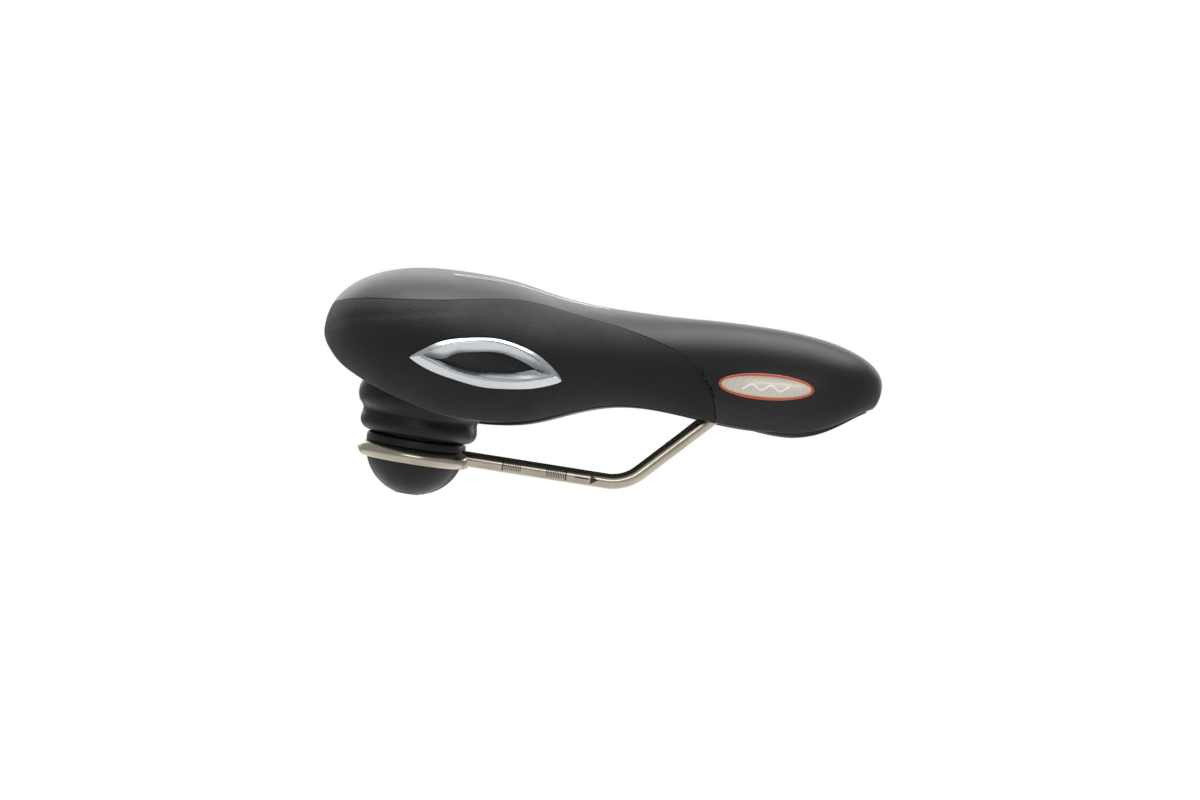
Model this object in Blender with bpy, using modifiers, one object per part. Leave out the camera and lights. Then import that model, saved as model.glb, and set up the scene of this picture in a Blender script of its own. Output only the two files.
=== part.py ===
"""A wide comfort bicycle saddle that rides on two rubber elastomers.

Frame: metres, +Z up, +X towards the nose, +Y to the rider's left. The origin is the middle of the
straight clamp length of the two rails, halfway between them and at the height of their axes, so
the saddle stands here as it does on a bicycle, with its rails level.

The saddle is in two bodies. The rail frame, one bent steel wire, carries a rubber ball and a rubber
spring in a loop behind each rail. Everything else is the saddle top, which turns about the wire's
cross bar under the nose and squeezes the two springs.
"""

import math

import bmesh
import bpy
from mathutils import Matrix, Vector

mm = 0.001

# ---- driving dimensions ---------------------------------------------------------------------
# The plan outline of one half, from the middle of the tail to the tip of the nose, with the
# heights that go with it: x, half width, height where the side is widest, height of the cover's
# lower edge, and how far that edge is tucked in under the side.
OUTLINE = [
    (-109.0, 0.0, 50.0, 42.0, 6.0),
    (-112.2, 24.0, 50.0, 41.0, 6.5),
    (-111.5, 47.0, 49.5, 38.5, 7.5),
    (-104.0, 72.0, 48.5, 33.5, 9.0),
    (-89.0, 95.0, 47.0, 27.0, 10.5),
    (-70.0, 109.0, 46.0, 21.0, 12.0),
    (-50.0, 114.0, 45.0, 17.5, 13.0),
    (-30.0, 111.0, 45.0, 17.6, 13.0),
    (-12.0, 100.5, 46.0, 21.0, 12.0),
    (5.0, 85.0, 47.5, 27.8, 10.5),
    (22.0, 68.0, 49.0, 33.6, 9.0),
    (40.0, 52.5, 51.0, 35.7, 7.5),
    (60.0, 40.5, 53.0, 34.7, 6.5),
    (80.0, 33.5, 54.0, 33.0, 6.0),
    (100.0, 30.0, 55.0, 33.6, 6.0),
    (118.0, 27.0, 56.0, 38.0, 5.5),
    (132.0, 21.0, 57.5, 45.0, 5.0),
    (141.0, 12.0, 58.5, 51.0, 4.0),
    (144.8, 0.0, 59.0, 53.5, 3.0),
]
# The seam between the smooth top cover and the grained side covers: place along the outline,
# counted in rows of OUTLINE, and height. The last rows are where it turns down to the edge.
SEAM = [
    (0, 60.0),
    (1, 60.5),
    (2, 61.5),
    (3, 63.8),
    (4, 66.5),
    (5, 69.0),
    (6, 72.5),
    (7, 75.6),
    (8, 75.2),
    (9, 73.0),
    (10, 70.8),
    (11, 66.8),
    (11.43, 63.7),
    (11.85, 59.4),
    (12.16, 53.7),
    (12.39, 47.4),
    (12.51, 40.7),
    (12.58, 34.2),
]
SEAM_TURNS = 13  # the row of SEAM where it leaves the side's length and turns down
CROWN = [  # height of the top along the middle, before the relief channel: x, z
    (-72.0, 84.2),
    (-50.0, 85.9),
    (-33.0, 84.9),
    (-17.0, 82.4),
    (-2.0, 79.9),
    (13.0, 79.0),
    (35.0, 79.2),
    (57.0, 80.3),
    (79.0, 81.1),
    (95.0, 81.0),
    (112.0, 80.0),
]
CHANNEL = [  # the pressure relief channel in the top: x, depth, half width
    (-96.0, 0.0, 17.0),
    (-80.0, 1.6, 17.0),
    (-60.0, 3.4, 16.0),
    (-30.0, 4.4, 13.5),
    (0.0, 3.8, 11.0),
    (30.0, 2.4, 9.0),
    (55.0, 0.8, 8.0),
    (75.0, 0.0, 8.0),
]
PAN = [  # height of the moulded base along the middle: x, z
    (-72.0, 40.0),
    (-50.0, 40.5),
    (-25.0, 42.5),
    (0.0, 47.0),
    (25.0, 52.0),
    (50.0, 56.0),
    (75.0, 58.5),
    (95.0, 59.0),
    (112.0, 58.5),
]
RIM_DROP = [  # how far the base's rim shows below the cover's edge: x, drop
    (-112.0, 0.4),
    (95.0, 0.5),
    (108.0, 1.8),
    (122.0, 2.2),
    (135.0, 1.4),
    (145.0, 0.9),
]
TAIL_POLE = -72.0  # behind this x the sections fan out from one point to go round the tail
NOSE_POLE = 112.0  # and ahead of this one, round the nose
TOP_POWER = 2.25  # squareness of the padded top's section
PAN_POWER = 2.4  # squareness of the base's section
TUCK_TURN = 0.92  # share of a quarter turn that the side makes below its widest line

COVER = 1.4  # thickness of the cover
SKIN_GAP = 0.3  # clearance kept between touching pieces
ON_THE_RAILS = ("rail_frame", "elastomer_ball", "elastomer_spring", "seat_washer")
FOAM_TOP = COVER + 2.4  # the flats of the coarse faces take up most of this
FOAM_ROWS = (0.0, 0.18, 0.36, 0.54, 0.7, 0.85, 1.0, 1.25, 1.55, 1.86)  # b of its rows of corners
PAN_INSET = 1.9  # the base's rim inside the cover's lower edge
BASE_WALL = 3.0
PAN_RINGS = (0.0, 0.25, 0.5, 0.72, 0.88, 0.965, 1.0)
FOAM_LIFT = 0.5  # clearance between the base and the foam over it

RAIL_R = 3.5  # 7 mm rail wire
RAIL_Y = 22.0  # half the distance between the rails' axes
RAIL_BEND_X = 34.6  # where the clamp length's axis meets the rising length's
RAIL_RISE = 46.0  # degrees
RAIL_BEND_R = 20.0
NOSE_Y = 13.0
PIVOT = (102.0, 43.0)  # x and z of the wire's cross bar under the nose, the hinge axis
NOSE_BEND_R = 6.0

LOOP_X = -62.5
LOOP_R = 21.5
LOOP_CANT = math.radians(4.0)  # each loop starts as a tangent to its rail and falls outwards
LOOP_Y = RAIL_Y + LOOP_R * math.cos(LOOP_CANT)
LOOP_Z = -LOOP_R * math.sin(LOOP_CANT)
LOOP_END = 50.0  # degrees short of the rail where the loop's end is welded to it

# Heights on an elastomer are counted along its own axis, from the plane of its loop.

GROOVE_R = RAIL_R + 0.3
BALL_R = 21.5
BALL_Z = 2.9
FLANGE_R = 21.8
FLANGE_TOP = 7.6
SEAT_R = 15.0
SEAT_H = 1.0
SPRING_FOOT = FLANGE_TOP + SEAT_H + 0.8
SPRING_HEAD = 32.5
BORE_R = 6.0  # clear hole for the bolt, wide enough for the arc it moves on
SEAT_Z = -1.5  # roof of the pocket in the ball, where the bolt's washer bears
POCKET_R = 9.6
MOUTH_R = 5.6  # the pocket's opening underneath, through which the bolt is turned
BOLT_R = 3.0
BOLT_TOP = 43.3
BOLT_HEAD_R = 5.0
BOLT_HEAD_H = 3.5
NUT_Z = (37.1, 42.1)
NUT_R = 5.77  # across corners of a 10 mm nut, halved
BOSS_R = 26.5
TOWER_R = 9.5
BOSS_Z = SPRING_HEAD + SKIN_GAP

EYE = dict(x=-35.0, z=45.2, length=70.6, rise=9.6, fall=9.6, skew=0.16)
BADGE = dict(x=91.6, z=53.7, length=44.6, height=12.4, tilt=4.5)

# ---- small tools ----------------------------------------------------------------------------


def clear_scene():
    for obj in list(bpy.data.objects):
        bpy.data.objects.remove(obj)


def collection(name):
    made = bpy.data.collections.new(name)
    bpy.context.scene.collection.children.link(made)
    return made


def material(name, colour, roughness, metallic=0.0):
    made = bpy.data.materials.new(name)
    made.use_nodes = True
    shader = made.node_tree.nodes["Principled BSDF"]
    shader.inputs["Base Color"].default_value = (*colour, 1.0)
    shader.inputs["Roughness"].default_value = roughness
    shader.inputs["Metallic"].default_value = metallic
    return made


def add_object(name, mesh, finish, into):
    obj = bpy.data.objects.new(name, mesh)
    into.objects.link(obj)
    if finish is not None:
        mesh.materials.append(finish)
    return obj


def add_helper(name, mesh):
    """A cutter or a joined-on shape: never shown and never a piece."""
    obj = add_object(name, mesh, None, HELPERS)
    obj.hide_render = True
    obj.display_type = "WIRE"
    return obj


def mesh_from(bm, name, smooth=True):
    mesh = bpy.data.meshes.new(name)
    bm.to_mesh(mesh)
    bm.free()
    if smooth:
        mesh.shade_smooth()
    return mesh


def boolean(obj, other, operation):
    made = obj.modifiers.new(f"{operation.lower()} {other.name}", "BOOLEAN")
    made.operation = operation
    made.solver = "EXACT"
    made.object = other


def hermite(p0, p1, m0, m1, t):
    """A cubic from p0 to p1 that leaves with slope m0 and arrives with slope m1."""
    t2, t3 = t * t, t * t * t
    return (2 * t3 - 3 * t2 + 1) * p0 + (t3 - 2 * t2 + t) * m0 + (3 * t2 - 2 * t3) * p1 + (t3 - t2) * m1


def along(rows, x):
    """The other columns of rows at x, on a smooth curve through them."""
    x = min(max(x, rows[0][0]), rows[-1][0])
    i = max(k for k in range(len(rows) - 1) if rows[k][0] <= x)
    a, b = rows[i], rows[i + 1]
    before, after = rows[max(i - 1, 0)], rows[min(i + 2, len(rows) - 1)]
    span = b[0] - a[0]
    t = (x - a[0]) / span
    found = []
    for k in range(1, len(a)):
        m0 = (b[k] - before[k]) / (b[0] - before[0]) * span
        m1 = (after[k] - a[k]) / (after[0] - a[0]) * span
        found.append(hermite(a[k], b[k], m0, m1, t))
    return found[0] if len(found) == 1 else found


# ---- the saddle's form ----------------------------------------------------------------------

LAST = len(OUTLINE) - 1


def outline_row(i):
    """A row of OUTLINE, with the mirrored rows that lie past the tail and past the nose."""
    if i < 0:
        x, y, *rest = OUTLINE[-i]
        return (x, -y, *rest)
    if i > LAST:
        x, y, *rest = OUTLINE[2 * LAST - i]
        return (x, -y, *rest)
    return OUTLINE[i]


def outline(a):
    """(x, half width, widest height, edge height, tuck) at place a along one half, 0 to LAST."""
    i = min(int(a), LAST - 1)
    p = [outline_row(i + k) for k in (-1, 0, 1, 2)]
    t = a - i
    return [
        hermite(p[1][k], p[2][k], (p[2][k] - p[0][k]) / 2, (p[3][k] - p[1][k]) / 2, t)
        for k in range(5)
    ]


def folded(a):
    """(place on the half, side) for a place that may have run past the tail or the nose."""
    if a < 0:
        return -a, -1
    if a > LAST:
        return 2 * LAST - a, -1
    return a, 1


def tucked(s):
    """Share of the tuck at s, 0 on the widest line and 1 at the edge."""
    return (1 - math.sqrt(1 - (TUCK_TURN * s) ** 2)) / (1 - math.sqrt(1 - TUCK_TURN**2))


def form(a, b):
    """A point of the padded saddle's outside, in mm. b is 0 along the middle of the top, 1 on the
    widest line and 2 at the cover's lower edge."""
    a, side = folded(a)
    x, y, wide, edge, tuck = outline(a)
    pole = min(max(x, TAIL_POLE), NOSE_POLE)
    crown = along(CROWN, pole)
    out = Vector((x - pole, y))
    if b <= 1:
        turn = max(b, 0.0) * math.pi / 2
        reach = math.sin(turn) ** (2 / TOP_POWER)
        z = wide + (crown - wide) * math.cos(turn) ** (2 / TOP_POWER)
    else:
        reach = 1 - tuck * tucked(b - 1) / out.length
        z = wide + (edge - wide) * (b - 1)
    px, py = pole + out.x * reach, out.y * reach
    depth, half = along(CHANNEL, px)
    if b < 1:
        z -= depth * math.exp(-((py / half) ** 2)) * (1 - b)
    return Vector((px, py * side, z))


def outwards(a, b):
    """The form's outward normal, by small steps along and across it."""
    b = min(max(b, 0.02), 1.995)
    step = 0.01
    along_it = form(a + step, b) - form(a - step, b)
    across = form(a, b + step / 2) - form(a, b - step / 2)
    n = across.cross(along_it)
    if n.length < 1e-9:
        return Vector((0, 0, 1))
    n.normalize()
    x, *_ = outline(folded(a)[0])
    middle = Vector((min(max(x, TAIL_POLE), NOSE_POLE), 0, 45))
    return n if n.dot(form(a, b) - middle) > 0 else -n


def inside(a, b, depth):
    """A point this far under the form's surface. The middle line stays in the middle."""
    p = form(a, b) - outwards(a, b) * depth
    if b <= 0 or a <= 0 or a >= LAST:
        p.y = 0
    return p


def pan(a, r, lift=0.0):
    """A point of the moulded base's top, r from 0 in the middle to 1 at the rim."""
    x, y, _, edge, tuck = outline(a)
    pole = min(max(x, TAIL_POLE), NOSE_POLE)
    out = Vector((x - pole, y))
    out *= 1 - (tuck + PAN_INSET) / out.length
    rim = edge - along(RIM_DROP, x)
    rise = (1 - r**PAN_POWER) ** (1 / PAN_POWER)
    return Vector((pole + out.x * r, out.y * r, rim + (along(PAN, pole) - rim) * rise + lift))


def height_to_b(a, z):
    """Where on its section the form has the height z."""
    x, _, wide, edge, _ = outline(a)
    crown = along(CROWN, min(max(x, TAIL_POLE), NOSE_POLE))
    if z <= wide:
        return min(1 + (wide - z) / (wide - edge), 2.0)
    return math.acos(((z - wide) / (crown - wide)) ** (TOP_POWER / 2)) * 2 / math.pi


def x_to_a(x):
    """The place along the outline that has this x, ahead of the widest part of the tail."""
    low, high = 3.0, float(LAST)
    for _ in range(40):
        middle = (low + high) / 2
        if outline(middle)[0] < x:
            low = middle
        else:
            high = middle
    return low


def on_side(x, z, proud=0.0):
    """A point this far out from the form's side, over x and z."""
    a = x_to_a(x)
    b = height_to_b(a, z)
    return form(a, b) + outwards(a, b) * proud


def loft(rows, closed=False):
    """A bmesh of quads between rows of points in mm. Each row may close on itself."""
    bm = bmesh.new()
    verts = [[bm.verts.new(p * mm) for p in row] for row in rows]
    count = len(rows[0])
    for one, two in zip(verts, verts[1:]):
        for k in range(count if closed else count - 1):
            n = (k + 1) % count
            bm.faces.new((one[k], one[n], two[n], two[k]))
    bmesh.ops.remove_doubles(bm, verts=bm.verts, dist=0.01 * mm)
    return bm


def turn_outwards(bm, middle=Vector((0, 0, 45 * mm))):
    """Faces an open sheet away from a line along X at the given height."""
    total = 0.0
    for face in bm.faces:
        centre = face.calc_center_median()
        total += face.normal.dot(centre - Vector((centre.x, 0, middle.z))) * face.calc_area()
    if total < 0:
        bmesh.ops.reverse_faces(bm, faces=bm.faces)


def steps(first, last, count):
    return [first + (last - first) * k / count for k in range(count + 1)]


# ---- covers ---------------------------------------------------------------------------------


def seam(s):
    """(place along the outline, b) of the seam at s, counted in rows of SEAM."""
    i = min(int(s), len(SEAM) - 2)
    p = [SEAM[min(max(i + k, 0), len(SEAM) - 1)] for k in (-1, 0, 1, 2)]
    t = s - i
    a, z = (hermite(p[1][k], p[2][k], (p[2][k] - p[0][k]) / 2, (p[3][k] - p[1][k]) / 2, t) for k in (0, 1))
    return Vector((a, height_to_b(a, z)))


def patch(top, bottom, left, right, u, v):
    """A Coons patch in the form's own (a, b)."""
    ruled = top(u) * (1 - v) + bottom(u) * v + left(v) * (1 - u) + right(v) * u
    corners = (top(0) * (1 - u) + top(1) * u) * (1 - v) + (bottom(0) * (1 - u) + bottom(1) * u) * v
    return ruled - corners


SEAM_END = SEAM[-1][0]
SEAM_B = seam(0)[1]
SEAM_LAST = len(SEAM) - 1


def side_place(u, v):
    """(a, b) on the side cover: u from the tail to the seam's front, v from the seam to the edge."""
    return patch(
        lambda t: seam(SEAM_TURNS * t),
        lambda t: Vector((SEAM_END * t, 2.0)),
        lambda t: Vector((0.0, SEAM_B + (2 - SEAM_B) * t)),
        lambda t: seam(SEAM_TURNS + (SEAM_LAST - SEAM_TURNS) * t),
        u,
        v,
    )


SIDE_ROWS = 7


def side_cover(name, side, finish):
    rows = []
    for u in steps(0.0, 1.0, SEAM_TURNS):
        u = 0.004 + 0.984 * u  # leaves the tail seam and the front seam open
        row = []
        for v in steps(0.0, 1.0, SIDE_ROWS):
            a, b = side_place(u, 0.022 + 0.978 * v)
            p = form(a, b)
            row.append(Vector((p.x, p.y * side, p.z)))
        rows.append(row)
    bm = loft(rows)
    bm.normal_update()
    turn_outwards(bm)
    obj = add_object(name, mesh_from(bm, name), finish, PARTS)
    thicken(obj, COVER)
    return obj


def thicken(obj, wall):
    made = obj.modifiers.new("wall", "SOLIDIFY")
    made.thickness = wall * mm
    made.offset = -1
    made.use_even_offset = True


def mirror(obj):
    made = obj.modifiers.new("other half", "MIRROR")
    made.use_axis = (False, True, False)
    made.use_mirror_merge = True
    made.merge_threshold = 0.0001


def top_columns():
    """The columns of the top cover's half: (a at the middle line, (a, b) at its boundary)."""
    rear = [(s * 11.2 / SEAM_TURNS, seam(s)) for s in steps(0.0, SEAM_TURNS, 13)]
    down = [
        (11.2 + 2.0 * (s - SEAM_TURNS) / (SEAM_LAST - SEAM_TURNS), seam(s))
        for s in steps(SEAM_TURNS, SEAM_LAST, SIDE_ROWS)[1:]
    ]
    nose = [
        (13.2 + (LAST - 13.2) * t, Vector((SEAM_END + (LAST - SEAM_END) * t, 2.0)))
        for t in steps(0.0, 1.0, 9)[1:]
    ]
    return rear + down + nose


def top_cover(finish):
    rows = []
    for spine, end in top_columns():
        row = []
        for v in steps(0.0, 1.0, 7):
            place = Vector((spine, 0.0)) * (1 - v) + end * v
            p = form(*place)
            if v == 0 or spine in (0.0, float(LAST)):
                p.y = 0
            row.append(p)
        rows.append(row)
    bm = loft(rows)
    bm.normal_update()
    turn_outwards(bm)
    obj = add_object("top_cover", mesh_from(bm, "top_cover"), finish, PARTS)
    mirror(obj)
    thicken(obj, COVER)
    return obj


# ---- padding --------------------------------------------------------------------------------

GEL = dict(x=-60.0, y=49.0, long=38.0, wide=30.0)
GEL_FLOOR = 11.0


def top_height(x, y):
    """Height of the form's top over a point of the straight sections or of the tail's fan."""
    best = None
    for side_a in steps(0.5, LAST - 0.5, 120):
        ox, oy, wide, _, _ = outline(side_a)
        pole = min(max(ox, TAIL_POLE), NOSE_POLE)
        out = Vector((ox - pole, oy))
        here = Vector((x - pole, y))
        off = abs(out.x * here.y - out.y * here.x) / out.length
        if here.dot(out) > 0 and (best is None or off < best[0]):
            best = (off, min(here.dot(out) / out.length_squared, 1.0), wide, pole)
    _, reach, wide, pole = best
    z = wide + (along(CROWN, pole) - wide) * (1 - reach**TOP_POWER) ** (1 / TOP_POWER)
    depth, half = along(CHANNEL, x)
    turn = math.asin(min(reach ** (TOP_POWER / 2), 1.0)) * 2 / math.pi
    return z - depth * math.exp(-((y / half) ** 2)) * (1 - turn)


def gel_shape(side, grown, top, floor, rings=4, around=20):
    """A lens of gel under the cover: an oval whose top follows the saddle. Its floor is this far
    under the saddle's surface in the middle and rises to the rim."""
    bm = bmesh.new()
    levels = []
    for r in steps(0.0, 1.0, rings)[1:]:
        ring = []
        for k in range(around):
            t = 2 * math.pi * k / around
            x = GEL["x"] + (GEL["long"] + grown) * r * math.cos(t)
            y = GEL["y"] + (GEL["wide"] + grown) * r * math.sin(t)
            ring.append((x, y, top_height(x, y), r))
        levels.append(ring)
    middle = (GEL["x"], GEL["y"], top_height(GEL["x"], GEL["y"]), 0.0)

    def vert(p, is_top):
        x, y, z, r = p
        fall = top if is_top else floor - 5.4 * r**3
        return bm.verts.new(Vector((x, y * side, z - fall)) * mm)

    sheets = []
    for is_top in (True, False):
        sheets.append((vert(middle, is_top), [[vert(p, is_top) for p in ring] for ring in levels]))
    for hub, rings_ in sheets:
        for k in range(around):
            n = (k + 1) % around
            bm.faces.new((hub, rings_[0][k], rings_[0][n]))
            for one, two in zip(rings_, rings_[1:]):
                bm.faces.new((one[k], two[k], two[n], one[n]))
    upper, lower = sheets[0][1][-1], sheets[1][1][-1]
    for k in range(around):
        n = (k + 1) % around
        bm.faces.new((upper[k], upper[n], lower[n], lower[k]))
    bmesh.ops.recalc_face_normals(bm, faces=bm.faces)
    return bm


def foam_core(finish):
    """The padding: outside under the cover, underneath on the base, closed at its rim."""
    rows = []
    for a in steps(0.0, LAST, 30):
        outer = [inside(a, b, FOAM_TOP) for b in FOAM_ROWS]
        row = outer + [pan(a, r, FOAM_LIFT) for r in reversed(PAN_RINGS[:-1])]
        if a in (0.0, float(LAST)):
            for p in row:
                p.y = 0
        rows.append(row)
    bm = loft(rows)
    bmesh.ops.recalc_face_normals(bm, faces=bm.faces)
    obj = add_object("foam_core", mesh_from(bm, "foam_core"), finish, PARTS)
    mirror(obj)
    for side in (1, -1):
        word = "left" if side > 0 else "right"
        hollow = gel_shape(side, 0.5, -3.0, GEL_FLOOR + 0.4)
        pocket = add_helper(f"gel_pocket_{word}", mesh_from(hollow, "pocket"))
        boolean(obj, pocket, "DIFFERENCE")
        for what, top, radius in (("boss", 40.0, BOSS_R + 0.9), ("nut", 44.6, TOWER_R + 0.9)):
            well = axis_post(f"{what}_well_{word}", side, 28.0, top, radius, 28)
            boolean(obj, well, "DIFFERENCE")
    return obj


# ---- base -----------------------------------------------------------------------------------


def upright(bm, sides, r, height):
    """Adds a prism or cylinder about the Z axis, centred on the origin."""
    radii = dict(radius1=r * mm, radius2=r * mm)
    bmesh.ops.create_cone(bm, cap_ends=True, segments=sides, depth=height * mm, **radii)


def on_axis(side):
    """Places a piece on an elastomer's axis: its Z runs up the axis from the loop's plane."""
    centre = Vector((LOOP_X, side * LOOP_Y, LOOP_Z)) * mm
    return Matrix.Translation(centre) @ Matrix.Rotation(-side * LOOP_CANT, 4, "X")


def axis_post(name, side, z0, z1, r, sides=24):
    """A helper cylinder on an elastomer's axis."""
    bm = bmesh.new()
    upright(bm, sides, r, z1 - z0)
    bmesh.ops.translate(bm, verts=bm.verts, vec=Vector((0, 0, (z0 + z1) / 2)) * mm)
    bmesh.ops.transform(bm, matrix=on_axis(side), verts=bm.verts)
    return add_helper(name, mesh_from(bm, name))


def post(name, x, y, z0, z1, r, sides=24, axis="Z"):
    """A helper cylinder between two heights, or lying along Y between two y."""
    bm = bmesh.new()
    upright(bm, sides, r, z1 - z0)
    if axis == "Y":
        bmesh.ops.rotate(bm, verts=bm.verts, matrix=Matrix.Rotation(math.pi / 2, 3, "X"))
        centre = Vector((x, (z0 + z1) / 2, y))
    else:
        centre = Vector((x, y, (z0 + z1) / 2))
    bmesh.ops.translate(bm, verts=bm.verts, vec=centre * mm)
    return add_helper(name, mesh_from(bm, name))


def block_mesh(x, y, z):
    """A box between the given pairs of x, y and z."""
    bm = bmesh.new()
    bmesh.ops.create_cube(bm, size=1.0)
    for v in bm.verts:
        v.co = Vector([mm * (lo if c < 0 else hi) for c, (lo, hi) in zip(v.co, (x, y, z))])
    return bm


def rib_mesh(y, x0, x1, height):
    """A moulded rib along the base's underside, as deep as height and 2 mm thick."""
    rows = []
    for x in steps(x0, x1, 8):
        a = x_to_a(x)
        reach = abs(y) / (outline(a)[1] - outline(a)[4] - PAN_INSET)
        top = pan(a, reach).z - BASE_WALL * 0.5
        foot = top - BASE_WALL * 0.5 - height
        section = ((y - 1, top), (y + 1, top), (y + 1, foot), (y - 1, foot))
        rows.append([Vector((x, *corner)) for corner in section])
    bm = loft(rows, closed=True)
    ends = [v for v in bm.verts if abs(v.co.x - x0 * mm) < 1e-7 or abs(v.co.x - x1 * mm) < 1e-7]
    for x in (x0, x1):
        bmesh.ops.contextual_create(bm, geom=[v for v in ends if abs(v.co.x - x * mm) < 1e-7])
    bmesh.ops.recalc_face_normals(bm, faces=bm.faces)
    return bm


BLOCK_X = (PIVOT[0] - 11.0, PIVOT[0] + 11.0)
BLOCK_HALF = 6.8
BLOCK_TOP = 55.8
CLIP_GAP = 0.3
CLIP_Z = (36.0, PIVOT[1] - CLIP_GAP / 2)
SCREW_X = (PIVOT[0] - 7.3, PIVOT[0] + 7.3)
SCREW_R = 1.6
PAD_X = (-99.0, -79.0)
PAD_HALF = 13.0
PAD_Z = (34.0, 39.0)


def base_shell(finish):
    """The moulded base: a dished pan with a rim, ribs, two spring bosses and the nose bearing."""
    rows = []
    for a in steps(0.0, LAST, 30):
        row = [pan(a, r) for r in PAN_RINGS]
        if a in (0.0, float(LAST)):
            for p in row:
                p.y = 0
        rows.append(row)
    bm = loft(rows)
    bm.normal_update()
    turn_outwards(bm, Vector((0, 0, 20 * mm)))
    obj = add_object("base_shell", mesh_from(bm, "base_shell"), finish, PARTS)
    mirror(obj)
    thicken(obj, BASE_WALL)
    for number, y in enumerate((9.0, -9.0)):
        rib = add_helper(f"rib_{number}", mesh_from(rib_mesh(y, -60.0, 88.0, 5.0), "rib"))
        boolean(obj, rib, "UNION")
    block = block_mesh(BLOCK_X, (-BLOCK_HALF, BLOCK_HALF), (PIVOT[1] + CLIP_GAP / 2, BLOCK_TOP))
    nose = add_helper("nose_block", mesh_from(block, "block"))
    boolean(obj, nose, "UNION")
    pad = block_mesh(PAD_X, (-PAD_HALF, PAD_HALF), PAD_Z)
    tail = add_helper("accessory_pad", mesh_from(pad, "pad"))
    boolean(obj, tail, "UNION")
    for side, word in ((1, "left"), (-1, "right")):
        boolean(obj, axis_post(f"boss_{word}", side, BOSS_Z, 39.0, BOSS_R, 32), "UNION")
        boolean(obj, axis_post(f"nut_tower_{word}", side, 37.5, 43.5, TOWER_R, 20), "UNION")
        boolean(obj, axis_post(f"bolt_hole_{word}", side, 30.0, 50.0, BOLT_R + 0.3, 16), "DIFFERENCE")
        pocket = axis_post(f"nut_pocket_{word}", side, NUT_Z[0] - SKIN_GAP, 50.0, NUT_R + 0.5, 6)
        boolean(obj, pocket, "DIFFERENCE")
    boolean(obj, post("nose_bearing", PIVOT[0], PIVOT[1], -20.0, 20.0, RAIL_R + 0.5, 24, "Y"), "DIFFERENCE")
    for number, x in enumerate(SCREW_X):
        boolean(obj, post(f"screw_hole_{number}", x, 0.0, 38.0, 52.0, SCREW_R + 0.3, 12), "DIFFERENCE")
    return obj


def nose_clip(finish):
    """The cap that holds the wire's cross bar up in the base's half bearing."""
    bm = block_mesh((BLOCK_X[0] + 0.5, BLOCK_X[1] - 0.5), (-BLOCK_HALF, BLOCK_HALF), CLIP_Z)
    corners = [e for e in bm.edges if abs(e.verts[0].co.z - e.verts[1].co.z) > 1 * mm]
    bmesh.ops.bevel(bm, geom=corners, offset=2.5 * mm, segments=3, profile=0.5, affect="EDGES")
    obj = add_object("nose_clip", mesh_from(bm, "nose_clip", smooth=False), finish, PARTS)
    boolean(obj, post("clip_bearing", PIVOT[0], PIVOT[1], -20.0, 20.0, RAIL_R + 0.5, 24, "Y"), "DIFFERENCE")
    for number, x in enumerate(SCREW_X):
        boolean(obj, post(f"clip_hole_{number}", x, 0.0, 30.0, 45.0, SCREW_R + 0.3, 12), "DIFFERENCE")
    return obj


# ---- turned pieces --------------------------------------------------------------------------


def turned(name, profile, place, finish, count=24):
    """A piece turned about the Z axis and put in its place. The profile is radius and height in
    mm, and runs down the outside; it ends on the axis, or closes on itself round a bore."""
    bore = min(r for r, _ in profile) > 0
    mesh = bpy.data.meshes.new(name)
    ends = len(profile)
    edges = [(k, k + 1) for k in range(ends - 1)] + ([(ends - 1, 0)] if bore else [])
    mesh.from_pydata([(r * mm, 0, z * mm) for r, z in profile], edges, [])
    obj = add_object(name, mesh, finish, PARTS)
    obj.matrix_world = place
    made = obj.modifiers.new("turn", "SCREW")
    made.steps = count
    made.render_steps = count
    made.use_merge_vertices = True
    made.merge_threshold = 0.00001
    made.use_smooth_shade = True
    return obj


def arc(centre_r, centre_z, radius, first, last, count):
    """Points of an arc in a profile, in degrees from the outward direction."""
    return [
        (centre_r + radius * math.cos(math.radians(t)), centre_z + radius * math.sin(math.radians(t)))
        for t in steps(first, last, count)
    ]


def spring_profile():
    """Two soft lobes with a waist between them, and a lip that covers the washer's edge."""
    return [
        (BORE_R, SPRING_HEAD),
        (24.5, SPRING_HEAD),
        *arc(21.0, 25.0, 7.4, 65.0, -40.0, 5),
        (25.4, 18.8),
        (25.3, 17.6),
        *arc(20.2, 14.4, 5.5, 18.0, -52.0, 4),
        (21.5, SPRING_FOOT - 0.9),
        (SEAT_R + 1.0, SPRING_FOOT - 0.9),
        (SEAT_R + 1.0, SPRING_FOOT),
        (BORE_R, SPRING_FOOT),
    ]


def ball_profile():
    """The rubber ball: flange over the wire loop, groove for the wire, and half a ball under it."""
    return [
        (BORE_R, FLANGE_TOP),
        (20.6, FLANGE_TOP),
        (FLANGE_R, FLANGE_TOP - 1.2),
        (FLANGE_R, GROOVE_R),
        *arc(LOOP_R, 0.0, GROOVE_R, 110.0, 250.0, 5),
        *arc(0.0, BALL_Z, BALL_R, -19.5, -75.5, 5),
        (MOUTH_R, -15.7),
        (POCKET_R, -13.7),
        (POCKET_R, SEAT_Z),
        (BORE_R, SEAT_Z),
    ]


def ring_profile(inner, outer, top, foot):
    return [(inner, top), (outer, top), (outer, foot), (inner, foot)]


def bolt_profile():
    head = SEAT_Z - 1.5 - SKIN_GAP  # under the washer
    return [
        (0.0, BOLT_TOP),
        (BOLT_R - 0.5, BOLT_TOP),
        (BOLT_R, BOLT_TOP - 0.5),
        (BOLT_R, head),
        (BOLT_HEAD_R, head),
        (BOLT_HEAD_R, head - BOLT_HEAD_H + 1.2),
        (BOLT_HEAD_R - 1.4, head - BOLT_HEAD_H),
        (0.0, head - BOLT_HEAD_H),
    ]


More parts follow.
